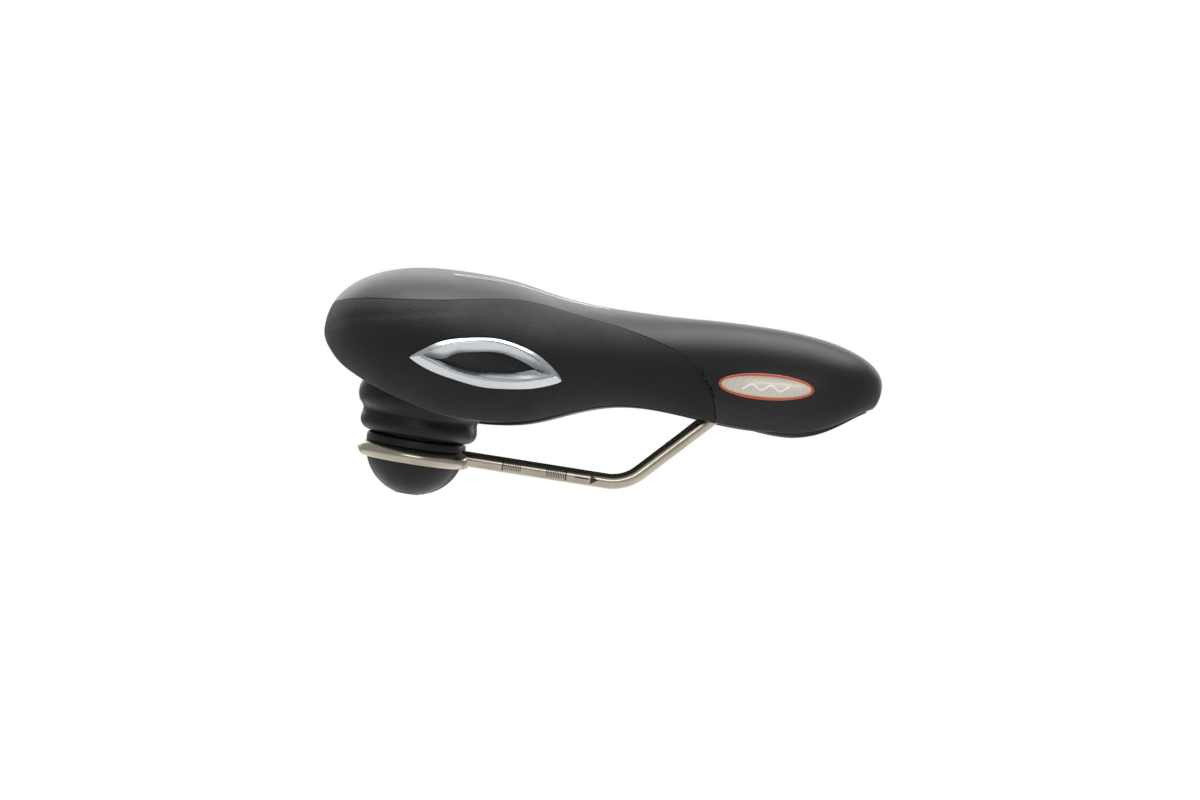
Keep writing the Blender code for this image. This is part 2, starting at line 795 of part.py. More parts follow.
def screw_profile():
    head = CLIP_Z[0] - 0.3
    return [
        (0.0, 50.0),
        (SCREW_R, 48.5),
        (SCREW_R, head),
        (3.4, head),
        (3.4, head - 1.2),
        (2.2, head - 2.4),
        (0.0, head - 2.4),
    ]


def elastomer_set(side, word, rubber, steel):
    place = on_axis(side)
    turned(f"elastomer_spring_{word}", spring_profile(), place, rubber)
    turned(f"elastomer_ball_{word}", ball_profile(), place, rubber)
    seat = ring_profile(BORE_R, SEAT_R, FLANGE_TOP + SKIN_GAP + SEAT_H, FLANGE_TOP + SKIN_GAP)
    turned(f"seat_washer_{word}", seat, place, steel, 20)
    bearing = ring_profile(BOLT_R + 0.3, 6.9, SEAT_Z - 0.3, SEAT_Z - 1.5)
    turned(f"bolt_washer_{word}", bearing, place, steel, 20)
    turned(f"elastomer_bolt_{word}", bolt_profile(), place, steel, 16)
    bm = bmesh.new()
    upright(bm, 6, NUT_R, NUT_Z[1] - NUT_Z[0])
    bmesh.ops.translate(bm, verts=bm.verts, vec=Vector((0, 0, sum(NUT_Z) / 2)) * mm)
    bmesh.ops.transform(bm, matrix=place, verts=bm.verts)
    nut = add_object(f"elastomer_nut_{word}", mesh_from(bm, "nut", smooth=False), steel, PARTS)
    boolean(nut, axis_post(f"nut_bore_{word}", side, 30.0, 47.0, BOLT_R + 0.3, 16), "DIFFERENCE")


# ---- rail frame -----------------------------------------------------------------------------


def bend(before, corner, after, radius, count):
    """Points of an arc that rounds a corner between two straight lengths."""
    into = (corner - before).normalized()
    out = (after - corner).normalized()
    angle = into.angle(out)
    start = corner - into * radius * math.tan(angle / 2)
    sideways = (out - into * into.dot(out)).normalized()
    centre = start + sideways * radius
    return [
        centre - sideways * radius * math.cos(t) + into * radius * math.sin(t)
        for t in steps(0.0, angle, count)
    ]


def half_wire():
    """The wire's axis from the middle of the cross bar to the welded end of the left loop."""
    px, pz = PIVOT
    rise = math.radians(RAIL_RISE)
    top_x = RAIL_BEND_X + pz / math.tan(rise)
    bar = Vector((px, 0, pz))
    bar_corner = Vector((px, NOSE_Y, pz))
    top_corner = Vector((top_x, NOSE_Y + 1.0, pz))
    foot_corner = Vector((RAIL_BEND_X, RAIL_Y, 0))
    rear = Vector((-30.0, RAIL_Y, 0))
    points = [bar]
    points += bend(bar, bar_corner, top_corner, NOSE_BEND_R, 5)
    points += bend(bar_corner, top_corner, foot_corner, 14.0, 5)
    points += bend(top_corner, foot_corner, rear, RAIL_BEND_R, 6)
    points += [Vector((0, RAIL_Y, 0)), rear]
    place = on_axis(1)
    for t in steps(90.0, 360.0 + 90.0 - LOOP_END, 26):
        angle = math.radians(-t)
        points.append(place @ (Vector((math.cos(angle), math.sin(angle), 0)) * LOOP_R * mm) / mm)
    return points


def rail_frame(finish):
    """One wire for both rails, with a weld where each loop closes on its own rail."""
    left = half_wire()
    path = [Vector((p.x, -p.y, p.z)) for p in reversed(left[1:])] + left
    curve = bpy.data.curves.new("rail_frame", "CURVE")
    curve.dimensions = "3D"
    curve.bevel_depth = RAIL_R * mm
    curve.bevel_resolution = 3
    curve.use_fill_caps = True
    spline = curve.splines.new("POLY")
    spline.points.add(len(path) - 1)
    for point, p in zip(spline.points, path):
        point.co = (*(p * mm), 1)
    wire = bpy.data.objects.new("wire", curve)
    HELPERS.objects.link(wire)
    bpy.context.view_layer.update()
    mesh = bpy.data.meshes.new_from_object(wire.evaluated_get(bpy.context.evaluated_depsgraph_get()))
    bpy.data.objects.remove(wire)
    bm = bmesh.new()
    bm.from_mesh(mesh)
    bmesh.ops.remove_doubles(bm, verts=bm.verts, dist=0.01 * mm)
    bmesh.ops.recalc_face_normals(bm, faces=bm.faces)
    obj = add_object("rail_frame", mesh_from(bm, "rail_frame"), finish, PARTS)
    end = left[-1]
    for side, word in ((1, "left"), (-1, "right")):
        bead = bmesh.new()
        bmesh.ops.create_uvsphere(bead, u_segments=12, v_segments=8, radius=1.0)
        size = Vector((3.4, 5.2, 2.9))
        place = Vector((end.x + 0.6, side * (end.y + RAIL_Y) / 2, end.z / 2 + 0.2))
        for v in bead.verts:
            v.co = (place + Vector([c * s for c, s in zip(v.co, size)])) * mm
        boolean(obj, add_helper(f"weld_{word}", mesh_from(bead, "weld")), "UNION")
    return obj


# ---- trim on the sides ----------------------------------------------------------------------


def lens(t, grow=0.0):
    """The pointed oval of the side trim at t from 0 to 1 round it, as x and z. It runs along the
    top from the rear tip to the front one and back underneath; its two arcs lean opposite ways."""
    over = t < 0.5
    s = 2 * t if over else 2 - 2 * t
    half = EYE["length"] / 2 + grow * 1.6
    lean = EYE["skew"] * (1 if over else -1)
    height = EYE["rise"] + grow if over else -EYE["fall"] - grow
    bow = math.sin(math.pi * s ** (1 - lean)) ** 0.86
    return EYE["x"] - half * math.cos(math.pi * s), EYE["z"] + height * bow


def eye_ring(t, outline_grow, proud, side):
    x, z = lens(t, outline_grow)
    p = on_side(x, z, proud)
    return Vector((p.x, p.y * side, p.z))


EYE_POINTS = 30
EYE_SECTION = [  # the bezel's section: inwards from its outline, and out from the cover
    (0.0, SKIN_GAP),
    (0.0, 0.9),
    (-1.7, 2.1),
    (-4.2, 0.4),
    (-4.2, -1.2),
    (-1.6, -1.2),
    (-1.6, SKIN_GAP),
]


def eye_bezel(side, word, finish):
    """The bright frame of the side window, lapped over the cover round its opening."""
    rows = [
        [eye_ring(k / EYE_POINTS, grow, proud, side) for grow, proud in EYE_SECTION]
        for k in range(EYE_POINTS)
    ]
    bm = loft(rows + [rows[0]], closed=True)
    bmesh.ops.recalc_face_normals(bm, faces=bm.faces)
    return add_object(f"eye_bezel_{word}", mesh_from(bm, "bezel"), finish, PARTS)


def dished(ring, proud, depth, side, shape, levels=(1.0, 0.6, 0.0)):
    """A closed plate on the side: its edge follows ring and its face shrinks to the middle line."""
    count = len(ring)
    middle_z = sum(z for _, z in ring) / count
    rows = []
    order = [(r, proud) for r in reversed(levels)] + [(r, proud - depth) for r in levels]
    for r, out in order:
        row = []
        for x, z in ring:
            zz = middle_z + (z - middle_z) * r
            xx = shape + (x - shape) * r
            p = on_side(xx, zz, out)
            row.append(Vector((p.x, p.y * side, p.z)))
        rows.append(row)
    bm = loft(rows, closed=True)
    bmesh.ops.recalc_face_normals(bm, faces=bm.faces)
    return bm


def eye_window(side, word, finish):
    """The dark soft lens seen through the bezel."""
    ring = [lens(k / EYE_POINTS, -4.6) for k in range(EYE_POINTS)]
    bm = dished(ring, -0.5, 0.9, side, EYE["x"])
    return add_object(f"eye_window_{word}", mesh_from(bm, "window"), finish, PARTS)


def oval(t, grow=0.0):
    """The nose badge's outline at t from 0 to 1 round it, as x and z."""
    angle = 2 * math.pi * t
    u = (BADGE["length"] / 2 + grow) * math.cos(angle)
    v = (BADGE["height"] / 2 + grow) * math.sin(angle)
    tilt = Matrix.Rotation(math.radians(BADGE["tilt"]), 2)
    x, z = Vector((BADGE["x"], BADGE["z"])) + tilt @ Vector((u, v))
    return x, z


BADGE_POINTS = 24


def badge_ring(side, word, finish):
    section = [(0.0, SKIN_GAP), (-0.35, 1.0), (-1.05, 1.0), (-1.4, SKIN_GAP)]
    rows = []
    for k in range(BADGE_POINTS):
        row = []
        for grow, proud in section:
            p = on_side(*oval(k / BADGE_POINTS, grow), proud)
            row.append(Vector((p.x, p.y * side, p.z)))
        rows.append(row)
    bm = loft(rows + [rows[0]], closed=True)
    bmesh.ops.recalc_face_normals(bm, faces=bm.faces)
    return add_object(f"badge_ring_{word}", mesh_from(bm, "badge_ring"), finish, PARTS)


def badge_plate(side, word, finish):
    ring = [oval(k / BADGE_POINTS, -1.8) for k in range(BADGE_POINTS)]
    bm = dished(ring, 0.9, 0.6, side, BADGE["x"])
    return add_object(f"badge_plate_{word}", mesh_from(bm, "badge_plate"), finish, PARTS)


def eye_hole(side, word):
    """Cuts the lens-shaped opening through the side cover."""
    rows = []
    for k in range(EYE_POINTS):
        x, z = lens(k / EYE_POINTS, -1.3)
        y = on_side(x, z).y
        rows.append([Vector((x, side * (y - 9), z)), Vector((x, side * (y + 9), z))])
    bm = loft(rows + [rows[0]])
    bmesh.ops.holes_fill(bm, edges=[e for e in bm.edges if e.is_boundary])
    bmesh.ops.recalc_face_normals(bm, faces=bm.faces)
    return add_helper(f"eye_hole_{word}", mesh_from(bm, "eye_hole", smooth=False))


# ---- assembly -------------------------------------------------------------------------------

clear_scene()
PARTS = collection("suspension_saddle")
HELPERS = collection("cutters")
pivot = bpy.data.objects.new("suspension_pivot", None)
pivot.location = (PIVOT[0] * mm, 0, PIVOT[1] * mm)
PARTS.objects.link(pivot)

SMOOTH_VINYL = material("smooth_vinyl", (0.030, 0.030, 0.031), 0.42)
GRAINED_VINYL = material("grained_vinyl", (0.022, 0.022, 0.023), 0.62)
FOAM = material("foam", (0.55, 0.53, 0.46), 0.9)
GEL_BLUE = material("gel", (0.10, 0.16, 0.22), 0.25)
BASE_PLASTIC = material("base_plastic", (0.018, 0.018, 0.019), 0.38)
ZINC_STEEL = material("zinc_steel", (0.50, 0.50, 0.48), 0.35, 1.0)
SATIN_SILVER = material("satin_silver", (0.62, 0.64, 0.65), 0.28, 0.85)
WINDOW_BLACK = material("window_black", (0.012, 0.012, 0.013), 0.3)
BADGE_ORANGE = material("badge_orange", (0.62, 0.13, 0.025), 0.3)
BADGE_CREAM = material("badge_cream", (0.60, 0.56, 0.47), 0.35, 0.5)
STEEL = material("steel", (0.45, 0.43, 0.38), 0.25, 1.0)
RUBBER = material("rubber", (0.012, 0.012, 0.012), 0.5)

base_shell(BASE_PLASTIC)
foam_core(FOAM)
top_cover(SMOOTH_VINYL)
nose_clip(BASE_PLASTIC)
for position, screw_x in zip(("rear", "front"), SCREW_X):
    screw_place = Matrix.Translation((screw_x * mm, 0, 0))
    turned(f"nose_clip_screw_{position}", screw_profile(), screw_place, ZINC_STEEL, 12)
rail_frame(STEEL)
for hand, hand_word in ((1, "left"), (-1, "right")):
    gel = gel_shape(hand, 0.0, FOAM_TOP, GEL_FLOOR)
    add_object(f"gel_pad_{hand_word}", mesh_from(gel, "gel"), GEL_BLUE, PARTS)
    cover = side_cover(f"side_cover_{hand_word}", hand, GRAINED_VINYL)
    boolean(cover, eye_hole(hand, hand_word), "DIFFERENCE")
    eye_bezel(hand, hand_word, SATIN_SILVER)
    eye_window(hand, hand_word, WINDOW_BLACK)
    badge_ring(hand, hand_word, BADGE_ORANGE)
    badge_plate(hand, hand_word, BADGE_CREAM)
    elastomer_set(hand, hand_word, RUBBER, ZINC_STEEL)

# Everything but the rails, and what their loops carry, turns about the bar under the nose.
bpy.context.view_layer.update()
for piece in PARTS.objects:
    if piece is not pivot and not piece.name.startswith(ON_THE_RAILS):
        piece.parent = pivot
        piece.matrix_parent_inverse = pivot.matrix_world.inverted()
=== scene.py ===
import math

import bmesh
import bpy
from mathutils import Matrix, Vector


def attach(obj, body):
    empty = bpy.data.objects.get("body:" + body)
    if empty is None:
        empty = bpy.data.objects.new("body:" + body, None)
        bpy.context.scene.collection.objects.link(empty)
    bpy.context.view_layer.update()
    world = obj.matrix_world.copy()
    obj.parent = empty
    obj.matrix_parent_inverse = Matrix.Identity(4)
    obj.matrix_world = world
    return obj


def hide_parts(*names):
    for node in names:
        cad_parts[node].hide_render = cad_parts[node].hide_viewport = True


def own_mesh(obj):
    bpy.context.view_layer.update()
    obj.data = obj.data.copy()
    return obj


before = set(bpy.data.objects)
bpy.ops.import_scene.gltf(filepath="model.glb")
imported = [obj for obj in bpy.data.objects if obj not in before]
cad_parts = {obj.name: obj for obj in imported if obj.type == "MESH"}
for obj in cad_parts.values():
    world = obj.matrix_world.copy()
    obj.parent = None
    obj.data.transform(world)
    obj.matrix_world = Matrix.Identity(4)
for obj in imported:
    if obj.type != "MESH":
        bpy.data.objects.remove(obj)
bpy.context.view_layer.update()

mm = 0.001
SIDES = ((1, "left"), (-1, "right"))

# ---- Padded form ----------------------------------------------------------------------------
# The saddle is a dome over a pear-shaped plan. Moulded foam gives it the form, and the covers,
# the padding and the base under them are all laid out on it. It has no piece of its own.
# A place on it is (a, b): a runs along one half's outline from the middle of the tail, 0, to the
# tip of the nose, LAST. b is 0 along the middle of the top, 1 where the side is widest and 2 at
# the covers' lower edge.

OUTLINE = [  # x, half width, height where widest, height of the lower edge, its tuck inwards
    (-107.4, 0.0, 49.3, 42.0, 6.0),
    (-110.8, 24.0, 49.3, 40.8, 6.3),
    (-110.0, 47.0, 48.8, 37.8, 6.8),
    (-103.4, 72.0, 48.0, 32.6, 7.8),
    (-89.2, 95.0, 46.4, 26.3, 9.8),
    (-70.8, 109.0, 46.0, 21.0, 11.6),
    (-50.0, 113.6, 45.0, 17.5, 13.0),
    (-30.0, 110.4, 45.0, 17.6, 13.0),
    (-12.0, 100.4, 46.0, 21.0, 12.0),
    (5.0, 85.2, 47.5, 27.8, 10.5),
    (22.0, 68.0, 49.0, 33.6, 9.0),
    (40.0, 52.0, 51.0, 35.7, 7.5),
    (60.0, 39.4, 53.0, 34.6, 6.5),
    (80.0, 32.2, 54.0, 33.0, 6.0),
    (100.0, 29.9, 55.0, 33.6, 6.0),
    (118.0, 27.9, 56.8, 36.4, 5.5),
    (132.0, 22.0, 59.0, 42.6, 5.0),
    (141.4, 12.4, 60.5, 49.0, 4.0),
    (144.9, 0.0, 61.0, 51.4, 3.0),
]
LAST = len(OUTLINE) - 1
SPINE_STEP = 20.0
SPINE = [  # every 20 mm from the tail's pole: crown, relief channel's depth, its half width, pan
    (85.2, 3.6, 15.5, 40.5),
    (84.5, 4.4, 13.5, 42.2),
    (81.1, 4.1, 12.0, 45.0),
    (79.2, 3.4, 10.5, 49.0),
    (79.3, 2.2, 9.5, 53.0),
    (80.0, 1.0, 8.5, 56.0),
    (81.0, 0.3, 8.0, 58.2),
    (81.1, 0.0, 8.0, 58.8),
]
TAIL_POLE = -50.0  # behind this x the sections fan out round the tail
NOSE_POLE = 90.0  # and ahead of this one they fan out round the nose
CHANNEL_END = -98.0
TOP_POWER = 2.25  # squareness of the padded top's section
TUCK_TURN = 0.92  # share of a quarter turn that the side makes below its widest line


def steps(first, last, count):
    return [first + (last - first) * k / count for k in range(count + 1)]


def straight_before(p):
    return 2 * p[0] - p[1]


def straight_after(p):
    return 2 * p[-1] - p[-2]


def smooth_curve(rows, before=straight_before, after=straight_after):
    """A curve through rows of numbers, with no kink in it or in its slope. before and after make
    the row past each end out of the list of rows."""
    held = [Vector(row) for row in rows]
    pull = [row.copy() for row in held]
    for _ in range(30):  # each turn brings the curve closer to the rows
        line = [before(pull), *pull, after(pull)]
        pull = [
            line[k + 1] + held[k] - (line[k] + 4 * line[k + 1] + line[k + 2]) / 6
            for k in range(len(held))
        ]
    line = [before(pull), *pull, after(pull)]
    last = len(rows) - 1

    def at(t):
        i = min(max(int(t), 0), last - 1)
        f = t - i
        g = 1 - f
        return (
            line[i] * g**3
            + line[i + 1] * (3 * f**3 - 6 * f**2 + 4)
            + line[i + 2] * (3 * g**3 - 6 * g**2 + 4)
            + line[i + 3] * f**3
        ) / 6

    return at


def across_middle(row):
    """The row as the mirrored half has it: only its half width changes side."""
    turned = row.copy()
    turned[1] = -turned[1]
    return turned


outline = smooth_curve(OUTLINE, lambda p: across_middle(p[1]), lambda p: across_middle(p[-2]))
spine = smooth_curve(SPINE, lambda p: p[1].copy(), lambda p: p[-2].copy())


def pole_of(x):
    """Where on the middle line the section through x starts from."""
    return min(max(x, TAIL_POLE), NOSE_POLE)


def spine_at(x):
    return spine((pole_of(x) - TAIL_POLE) / SPINE_STEP)


def channel_drop(x, y, b):
    """How far the relief channel lowers the top here."""
    _, depth, half, _ = spine_at(x)
    if x < TAIL_POLE:
        t = max(0.0, 1 - (TAIL_POLE - x) / (TAIL_POLE - CHANNEL_END))
        depth *= t * t * (3 - 2 * t)
    return depth * math.exp(-((y / half) ** 2)) * max(0.0, 1 - b)


def form(a, b, side=1):
    """A point of the padded saddle's outside, in mm."""
    if a < 0:
        a, side = -a, -side
    if a > LAST:
        a, side = 2 * LAST - a, -side
    x, y, wide, edge, tuck = outline(a)
    pole = pole_of(x)
    out = Vector((x - pole, y))
    if b < 0:
        b, side = -b, -side
    if b <= 1:
        turn = b * math.pi / 2
        crown = spine_at(pole)[0]
        reach = math.sin(turn) ** (2 / TOP_POWER)
        z = wide + (crown - wide) * max(math.cos(turn), 0.0) ** (2 / TOP_POWER)
    else:
        full = 1 - math.sqrt(1 - TUCK_TURN**2)
        tucked = (1 - math.sqrt(max(0.0, 1 - (TUCK_TURN * (b - 1)) ** 2))) / full
        reach = 1 - tuck * tucked / out.length
        z = wide + (edge - wide) * (b - 1)
    px, py = pole + out.x * reach, out.y * reach
    return Vector((px, py * side, z - channel_drop(px, py, b)))


def form_normal(a, b, side=1):
    """The form's outward normal."""
    b = min(max(b, 0.03), 1.995)
    step = 0.01
    along_it = form(a + step, b, side) - form(a - step, b, side)
    over_it = form(a, b + step / 2, side) - form(a, b - step / 2, side)
    n = over_it.cross(along_it).normalized()
    here = form(a, b, side)
    middle = Vector((pole_of(here.x), 0, 45))
    return n if n.dot(here - middle) > 0 else -n


def b_at_height(a, z):
    """Where on its section the form has the height z."""
    x, _, wide, edge, _ = outline(a)
    crown = spine_at(x)[0]
    if z <= wide:
        return min(1 + (wide - z) / (wide - edge), 2.0)
    return math.acos(min(1.0, (z - wide) / (crown - wide)) ** (TOP_POWER / 2)) * 2 / math.pi


def a_at_x(x):
    """The place along the outline that has this x, ahead of the widest part of the tail."""
    low, high = 3.0, float(LAST)
    for _ in range(30):
        middle = (low + high) / 2
        low, high = (middle, high) if outline(middle).x < x else (low, middle)
    return low


def on_side(x, z, proud, side):
    """A point this far out from the form's side, over x and z."""
    a = a_at_x(x)
    b = b_at_height(a, z)
    return form(a, b, side) + form_normal(a, b, side) * proud


# ---- Materials' own tools and the grained side covers' vinyl ---------------------------------
# The lower half of the saddle is covered, left and right, in a sheet of black vinyl calendered
# with a fine leather grain. It meets the top cover at an S-shaped seam and turns in under the rim.


def linear(hex_colour):
    """An sRGB hex colour as linear red, green, blue and alpha."""
    parts = [int(hex_colour[i : i + 2], 16) / 255 for i in (1, 3, 5)]
    parts = [c / 12.92 if c <= 0.04045 else ((c + 0.055) / 1.055) ** 2.4 for c in parts]
    return (*parts, 1.0)


def node(made, kind, settings=None, **links):
    """Adds a node of a kind to a material. settings sets its own properties. links sets its
    sockets, by name with _ for a space, from a value or another node's socket."""
    new = made.node_tree.nodes.new(f"ShaderNode{kind}")
    for key, value in (settings or {}).items():
        setattr(new, key, value)
    for key, value in links.items():
        socket = new.inputs[int(key[1:])] if key[1:].isdigit() else new.inputs[key.replace("_", " ")]
        if isinstance(value, bpy.types.NodeSocket):
            made.node_tree.links.new(value, socket)
        else:
            socket.default_value = value
    return new


def finish(name):
    """A new material, its shader, and places on the object in metres."""
    made = bpy.data.materials.new(name)
    made.use_nodes = True
    place = node(made, "TexCoord").outputs["Object"]
    return made, made.node_tree.nodes["Principled BSDF"], place


def dress(shader, **values):
    """Sets or links sockets of a shader, by name with _ for a space."""
    for key, value in values.items():
        socket = shader.inputs[key.replace("_", " ")]
        if isinstance(value, bpy.types.NodeSocket):
            shader.id_data.links.new(value, socket)
        else:
            socket.default_value = value


def calc(made, operation, *values):
    """The result of a Math node on its values."""
    links = {f"_{k}": value for k, value in enumerate(values)}
    return node(made, "Math", {"operation": operation}, **links).outputs["Value"]


def noise(made, place, scale, detail=2.0, **more):
    return node(made, "TexNoise", Vector=place, Scale=scale, Detail=detail, **more).outputs["Fac"]


def spread(made, value, low, high):
    """The middle of a noise's range stretched from low to high."""
    return node(
        made, "MapRange", Value=value, From_Min=0.3, From_Max=0.7, To_Min=low, To_Max=high
    ).outputs["Result"]


def ramp(made, value, dark, pale, start=0.0, end=1.0):
    """A colour that goes from dark to pale as the value goes from start to end."""
    new = node(made, "ValToRGB", Fac=value)
    for point, at, colour in zip(new.color_ramp.elements, (start, end), (dark, pale)):
        point.position, point.color = at, linear(colour)
    return new.outputs["Color"]


def bumped(made, height, strength, distance):
    return node(
        made, "Bump", Strength=strength, Distance=distance, Height=height
    ).outputs["Normal"]


def axes_of(made, vector):
    split = node(made, "SeparateXYZ", Vector=vector)
    return [split.outputs[axis] for axis in "XYZ"]


def axes_mm(made, place):
    """x, y and z in mm."""
    return axes_of(made, node(made, "Mapping", Vector=place, Scale=(1000.0,) * 3).outputs["Vector"])


def grained_vinyl():
    """Black calendered vinyl: a pebbled leather grain about 0.8 mm across, with a soft dull sheen."""
    made, shader, place = finish("grained_vinyl")
    pebble = node(
        made, "TexVoronoi", {"feature": "SMOOTH_F1"}, Vector=place, Scale=1250.0, Smoothness=0.6
    ).outputs["Distance"]
    grit = noise(made, place, 2600.0, 3.0, Roughness=0.6)
    cloud = noise(made, place, 45.0)
    height = calc(made, "MULTIPLY_ADD", pebble, -1.0, grit)
    dress(
        shader, Base_Color=ramp(made, grit, "#0b0b0b", "#1f1f1f", 0.3, 0.75),
        Roughness=spread(made, cloud, 0.56, 0.66), Normal=bumped(made, height, 0.8, 0.00025),
        Specular_IOR_Level=0.3,
    )
    return made


SEAM = [  # the seam between the top and side covers: place along the outline, height
    (0.0, 60.6),
    (1.0, 60.8),
    (2.0, 61.3),
    (3.0, 62.8),
    (4.0, 64.8),
    (5.0, 66.8),
    (6.0, 69.9),
    (7.0, 73.5),
    (8.0, 73.4),
    (9.0, 71.3),
    (10.0, 69.5),
    (11.0, 65.6),
    (11.44, 62.6),
    (11.83, 58.7),
    (12.14, 53.2),
    (12.36, 47.0),
    (12.48, 40.7),
    (12.56, 33.6),
]
SEAM_ROWS = len(SEAM) - 1
SEAM_END = SEAM[-1][0]
SEAM_GAP = 0.05  # from the seam's middle to each cover's turned edge
SEAM_ROLL = 0.4
HEM_ROLL = 1.2

seam_curve = smooth_curve(SEAM, lambda p: Vector((-p[1].x, p[1].y)))


def seam(t):
    """(a, b) on the seam, t from 0 at the tail to 1 where it reaches the lower edge."""
    a, z = seam_curve(t * SEAM_ROWS)
    a = max(a, 0.0)
    return Vector((a, b_at_height(a, z)))


def beside_seam(t, off):
    """(a, b) a distance off in mm from the seam, squarely across it, towards the top cover."""
    at = seam(t)
    here = form(*at)
    run = form(*seam(min(t + 0.004, 1.0))) - form(*seam(max(t - 0.004, 0.0)))
    across = run.cross(form_normal(*at)).normalized() * off
    along = (form(at.x + 0.02, at.y) - here) / 0.02
    down = (here - form(at.x, at.y - 0.02)) / 0.02
    aa, bb, ab = along.dot(along), down.dot(down), along.dot(down)
    p, q = along.dot(across), down.dot(across)
    moved = Vector((p * bb - q * ab, q * aa - p * ab)) / (aa * bb - ab * ab)
    return Vector((max(at.x + moved.x, 0.0), min(at.y + moved.y, 2.0)))


def grid(columns, rows, place):
    """An open sheet of columns by rows, each corner put where place(u, v) says, in mm."""
    bm = bmesh.new()
    bmesh.ops.create_grid(bm, x_segments=columns, y_segments=rows, size=0.5)
    for v in bm.verts:
        v.co = place(v.co.x + 0.5, v.co.y + 0.5) * mm
    bmesh.ops.remove_doubles(bm, verts=bm.verts, dist=0.004 * mm)
    return bm


def even(bm):
    """Turns all the faces of each closed shape outwards."""
    bmesh.ops.recalc_face_normals(bm, faces=bm.faces)
    return bm


def face_out(bm, middle):
    """Turns an open sheet's faces away from a line along X at the height of middle."""
    even(bm)
    lean = 0.0
    for face in bm.faces:
        centre = face.calc_center_median()
        away = centre - Vector((centre.x * 0.7, 0, middle * mm))
        lean += face.normal.dot(away) * face.calc_area()
    if lean < 0:
        bmesh.ops.reverse_faces(bm, faces=bm.faces)


def roll_edge(bm, radius, depth):
    """Turns every free edge of a sheet inwards: a quarter round, then straight in. radius(at, n)
    is the round's radius in mm for an edge at a place whose surface faces n."""
    bm.normal_update()
    rim = [e for e in bm.edges if e.is_boundary]
    away = {v: Vector() for e in rim for v in e.verts}
    for e in rim:
        loop = e.link_loops[0]
        run = (loop.link_loop_next.vert.co - loop.vert.co).normalized()
        for v in e.verts:
            away[v] += run.cross(v.normal)
    start = {v: (v.co.copy(), out.normalized(), v.normal.copy()) for v, out in away.items()}
    moved = {v: v for v in start}
    turns = [math.radians(t) for t in (22.5, 45.0, 67.5, 90.0)]
    for step in [*turns, None]:
        made = bmesh.ops.extrude_edge_only(bm, edges=rim)["geom"]
        rim = [e for e in made if isinstance(e, bmesh.types.BMEdge)]
        fresh = {v for v in made if isinstance(v, bmesh.types.BMVert)}
        following = {}
        for first, now in moved.items():
            then = next(e.other_vert(now) for e in now.link_edges if e.other_vert(now) in fresh)
            co, out, n = start[first]
            r = radius(co, n) * mm
            if step is None:
                then.co = co + out * r - n * (r + depth * mm)
            else:
                then.co = co + out * r * math.sin(step) - n * r * (1 - math.cos(step))
            following[first] = then
        moved = following


def linked(name, data):
    """A new object in the scene."""
    made = bpy.data.objects.new(name, data)
    bpy.context.scene.collection.objects.link(made)
    return made


def meshed(name, bm):
    mesh = bpy.data.meshes.new(name)
    bm.to_mesh(mesh)
    bm.free()
    return mesh


def make(name, bm, material, body, slot, *nodes):
    """A finished piece from a bmesh: smooth, dressed, riding on its body, and standing for the
    given CAD nodes."""
    mesh = meshed(name, bm)
    mesh.shade_smooth()
    mesh.materials.append(material)
    piece = linked(name, mesh)
    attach(piece, body)
    if nodes:
        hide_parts(*nodes)
    return piece


def wall(piece, thickness):
    """Gives a sheet its thickness, inwards."""
    made = piece.modifiers.new("wall", "SOLIDIFY")
    made.thickness = thickness * mm
    made.offset = -1
    made.use_quality_normals = True


def edge_radius(at, n):
    """The hem's wide round under the cover, and the seam's tight one down to the hem."""
    x, z = at.x / mm, at.z / mm
    on_seam = 50.0 < x < 71.5 and z > outline(a_at_x(x))[3] + 1.5
    return HEM_ROLL if n.z < -0.25 and not on_seam else SEAM_ROLL


CREASE = dict(below=5.0, depth=0.3, half=0.9, start=0.12, end=0.45)


def side_place(side):
    """Where the side cover's grid goes: u along the seam, v from the seam to the lower edge."""

    def place(u, v):
        u = 0.0022 + 0.9958 * u
        top, foot = beside_seam(u, -SEAM_GAP - SEAM_ROLL), Vector((SEAM_END * u**0.985, 2.0))
        high, low = form(*top, side), form(*foot, side)
        length = max((high - low).length, 0.5) * 1.12
        v *= 1 - min(HEM_ROLL / length, 0.3)
        a, b = top + (foot - top) * v
        below = v * length
        crease = math.exp(-(((below - CREASE["below"]) / CREASE["half"]) ** 2)) * CREASE["depth"]
        fade = max(0.0, math.sin(math.pi * (u - CREASE["start"]) / (CREASE["end"] - CREASE["start"])))
        on = CREASE["start"] < u < CREASE["end"]
        p = form(a, b, side)
        return p - form_normal(a, b, side) * crease * fade ** 0.5 if on and below < 9 else p

    return place


GRAINED_VINYL = grained_vinyl()
side_covers = {}
for side, word in SIDES:
    sheet = grid(230, 56, side_place(side))
    face_out(sheet, 45)
    roll_edge(sheet, edge_radius, 1.2)
    cover = make(
        f"grained_side_cover_{word}", sheet, GRAINED_VINYL, "saddle", "grained_vinyl",
        f"side_cover_{word}",
    )
    wall(cover, 0.45)
    side_covers[side] = cover

# ---- Smooth top cover -----------------------------------------------------------------------
# One piece of smooth satin vinyl over the seat and down both sides of the nose. It is drawn tight
# over the foam, so it carries no folds, and its edge is turned under like the side covers'.


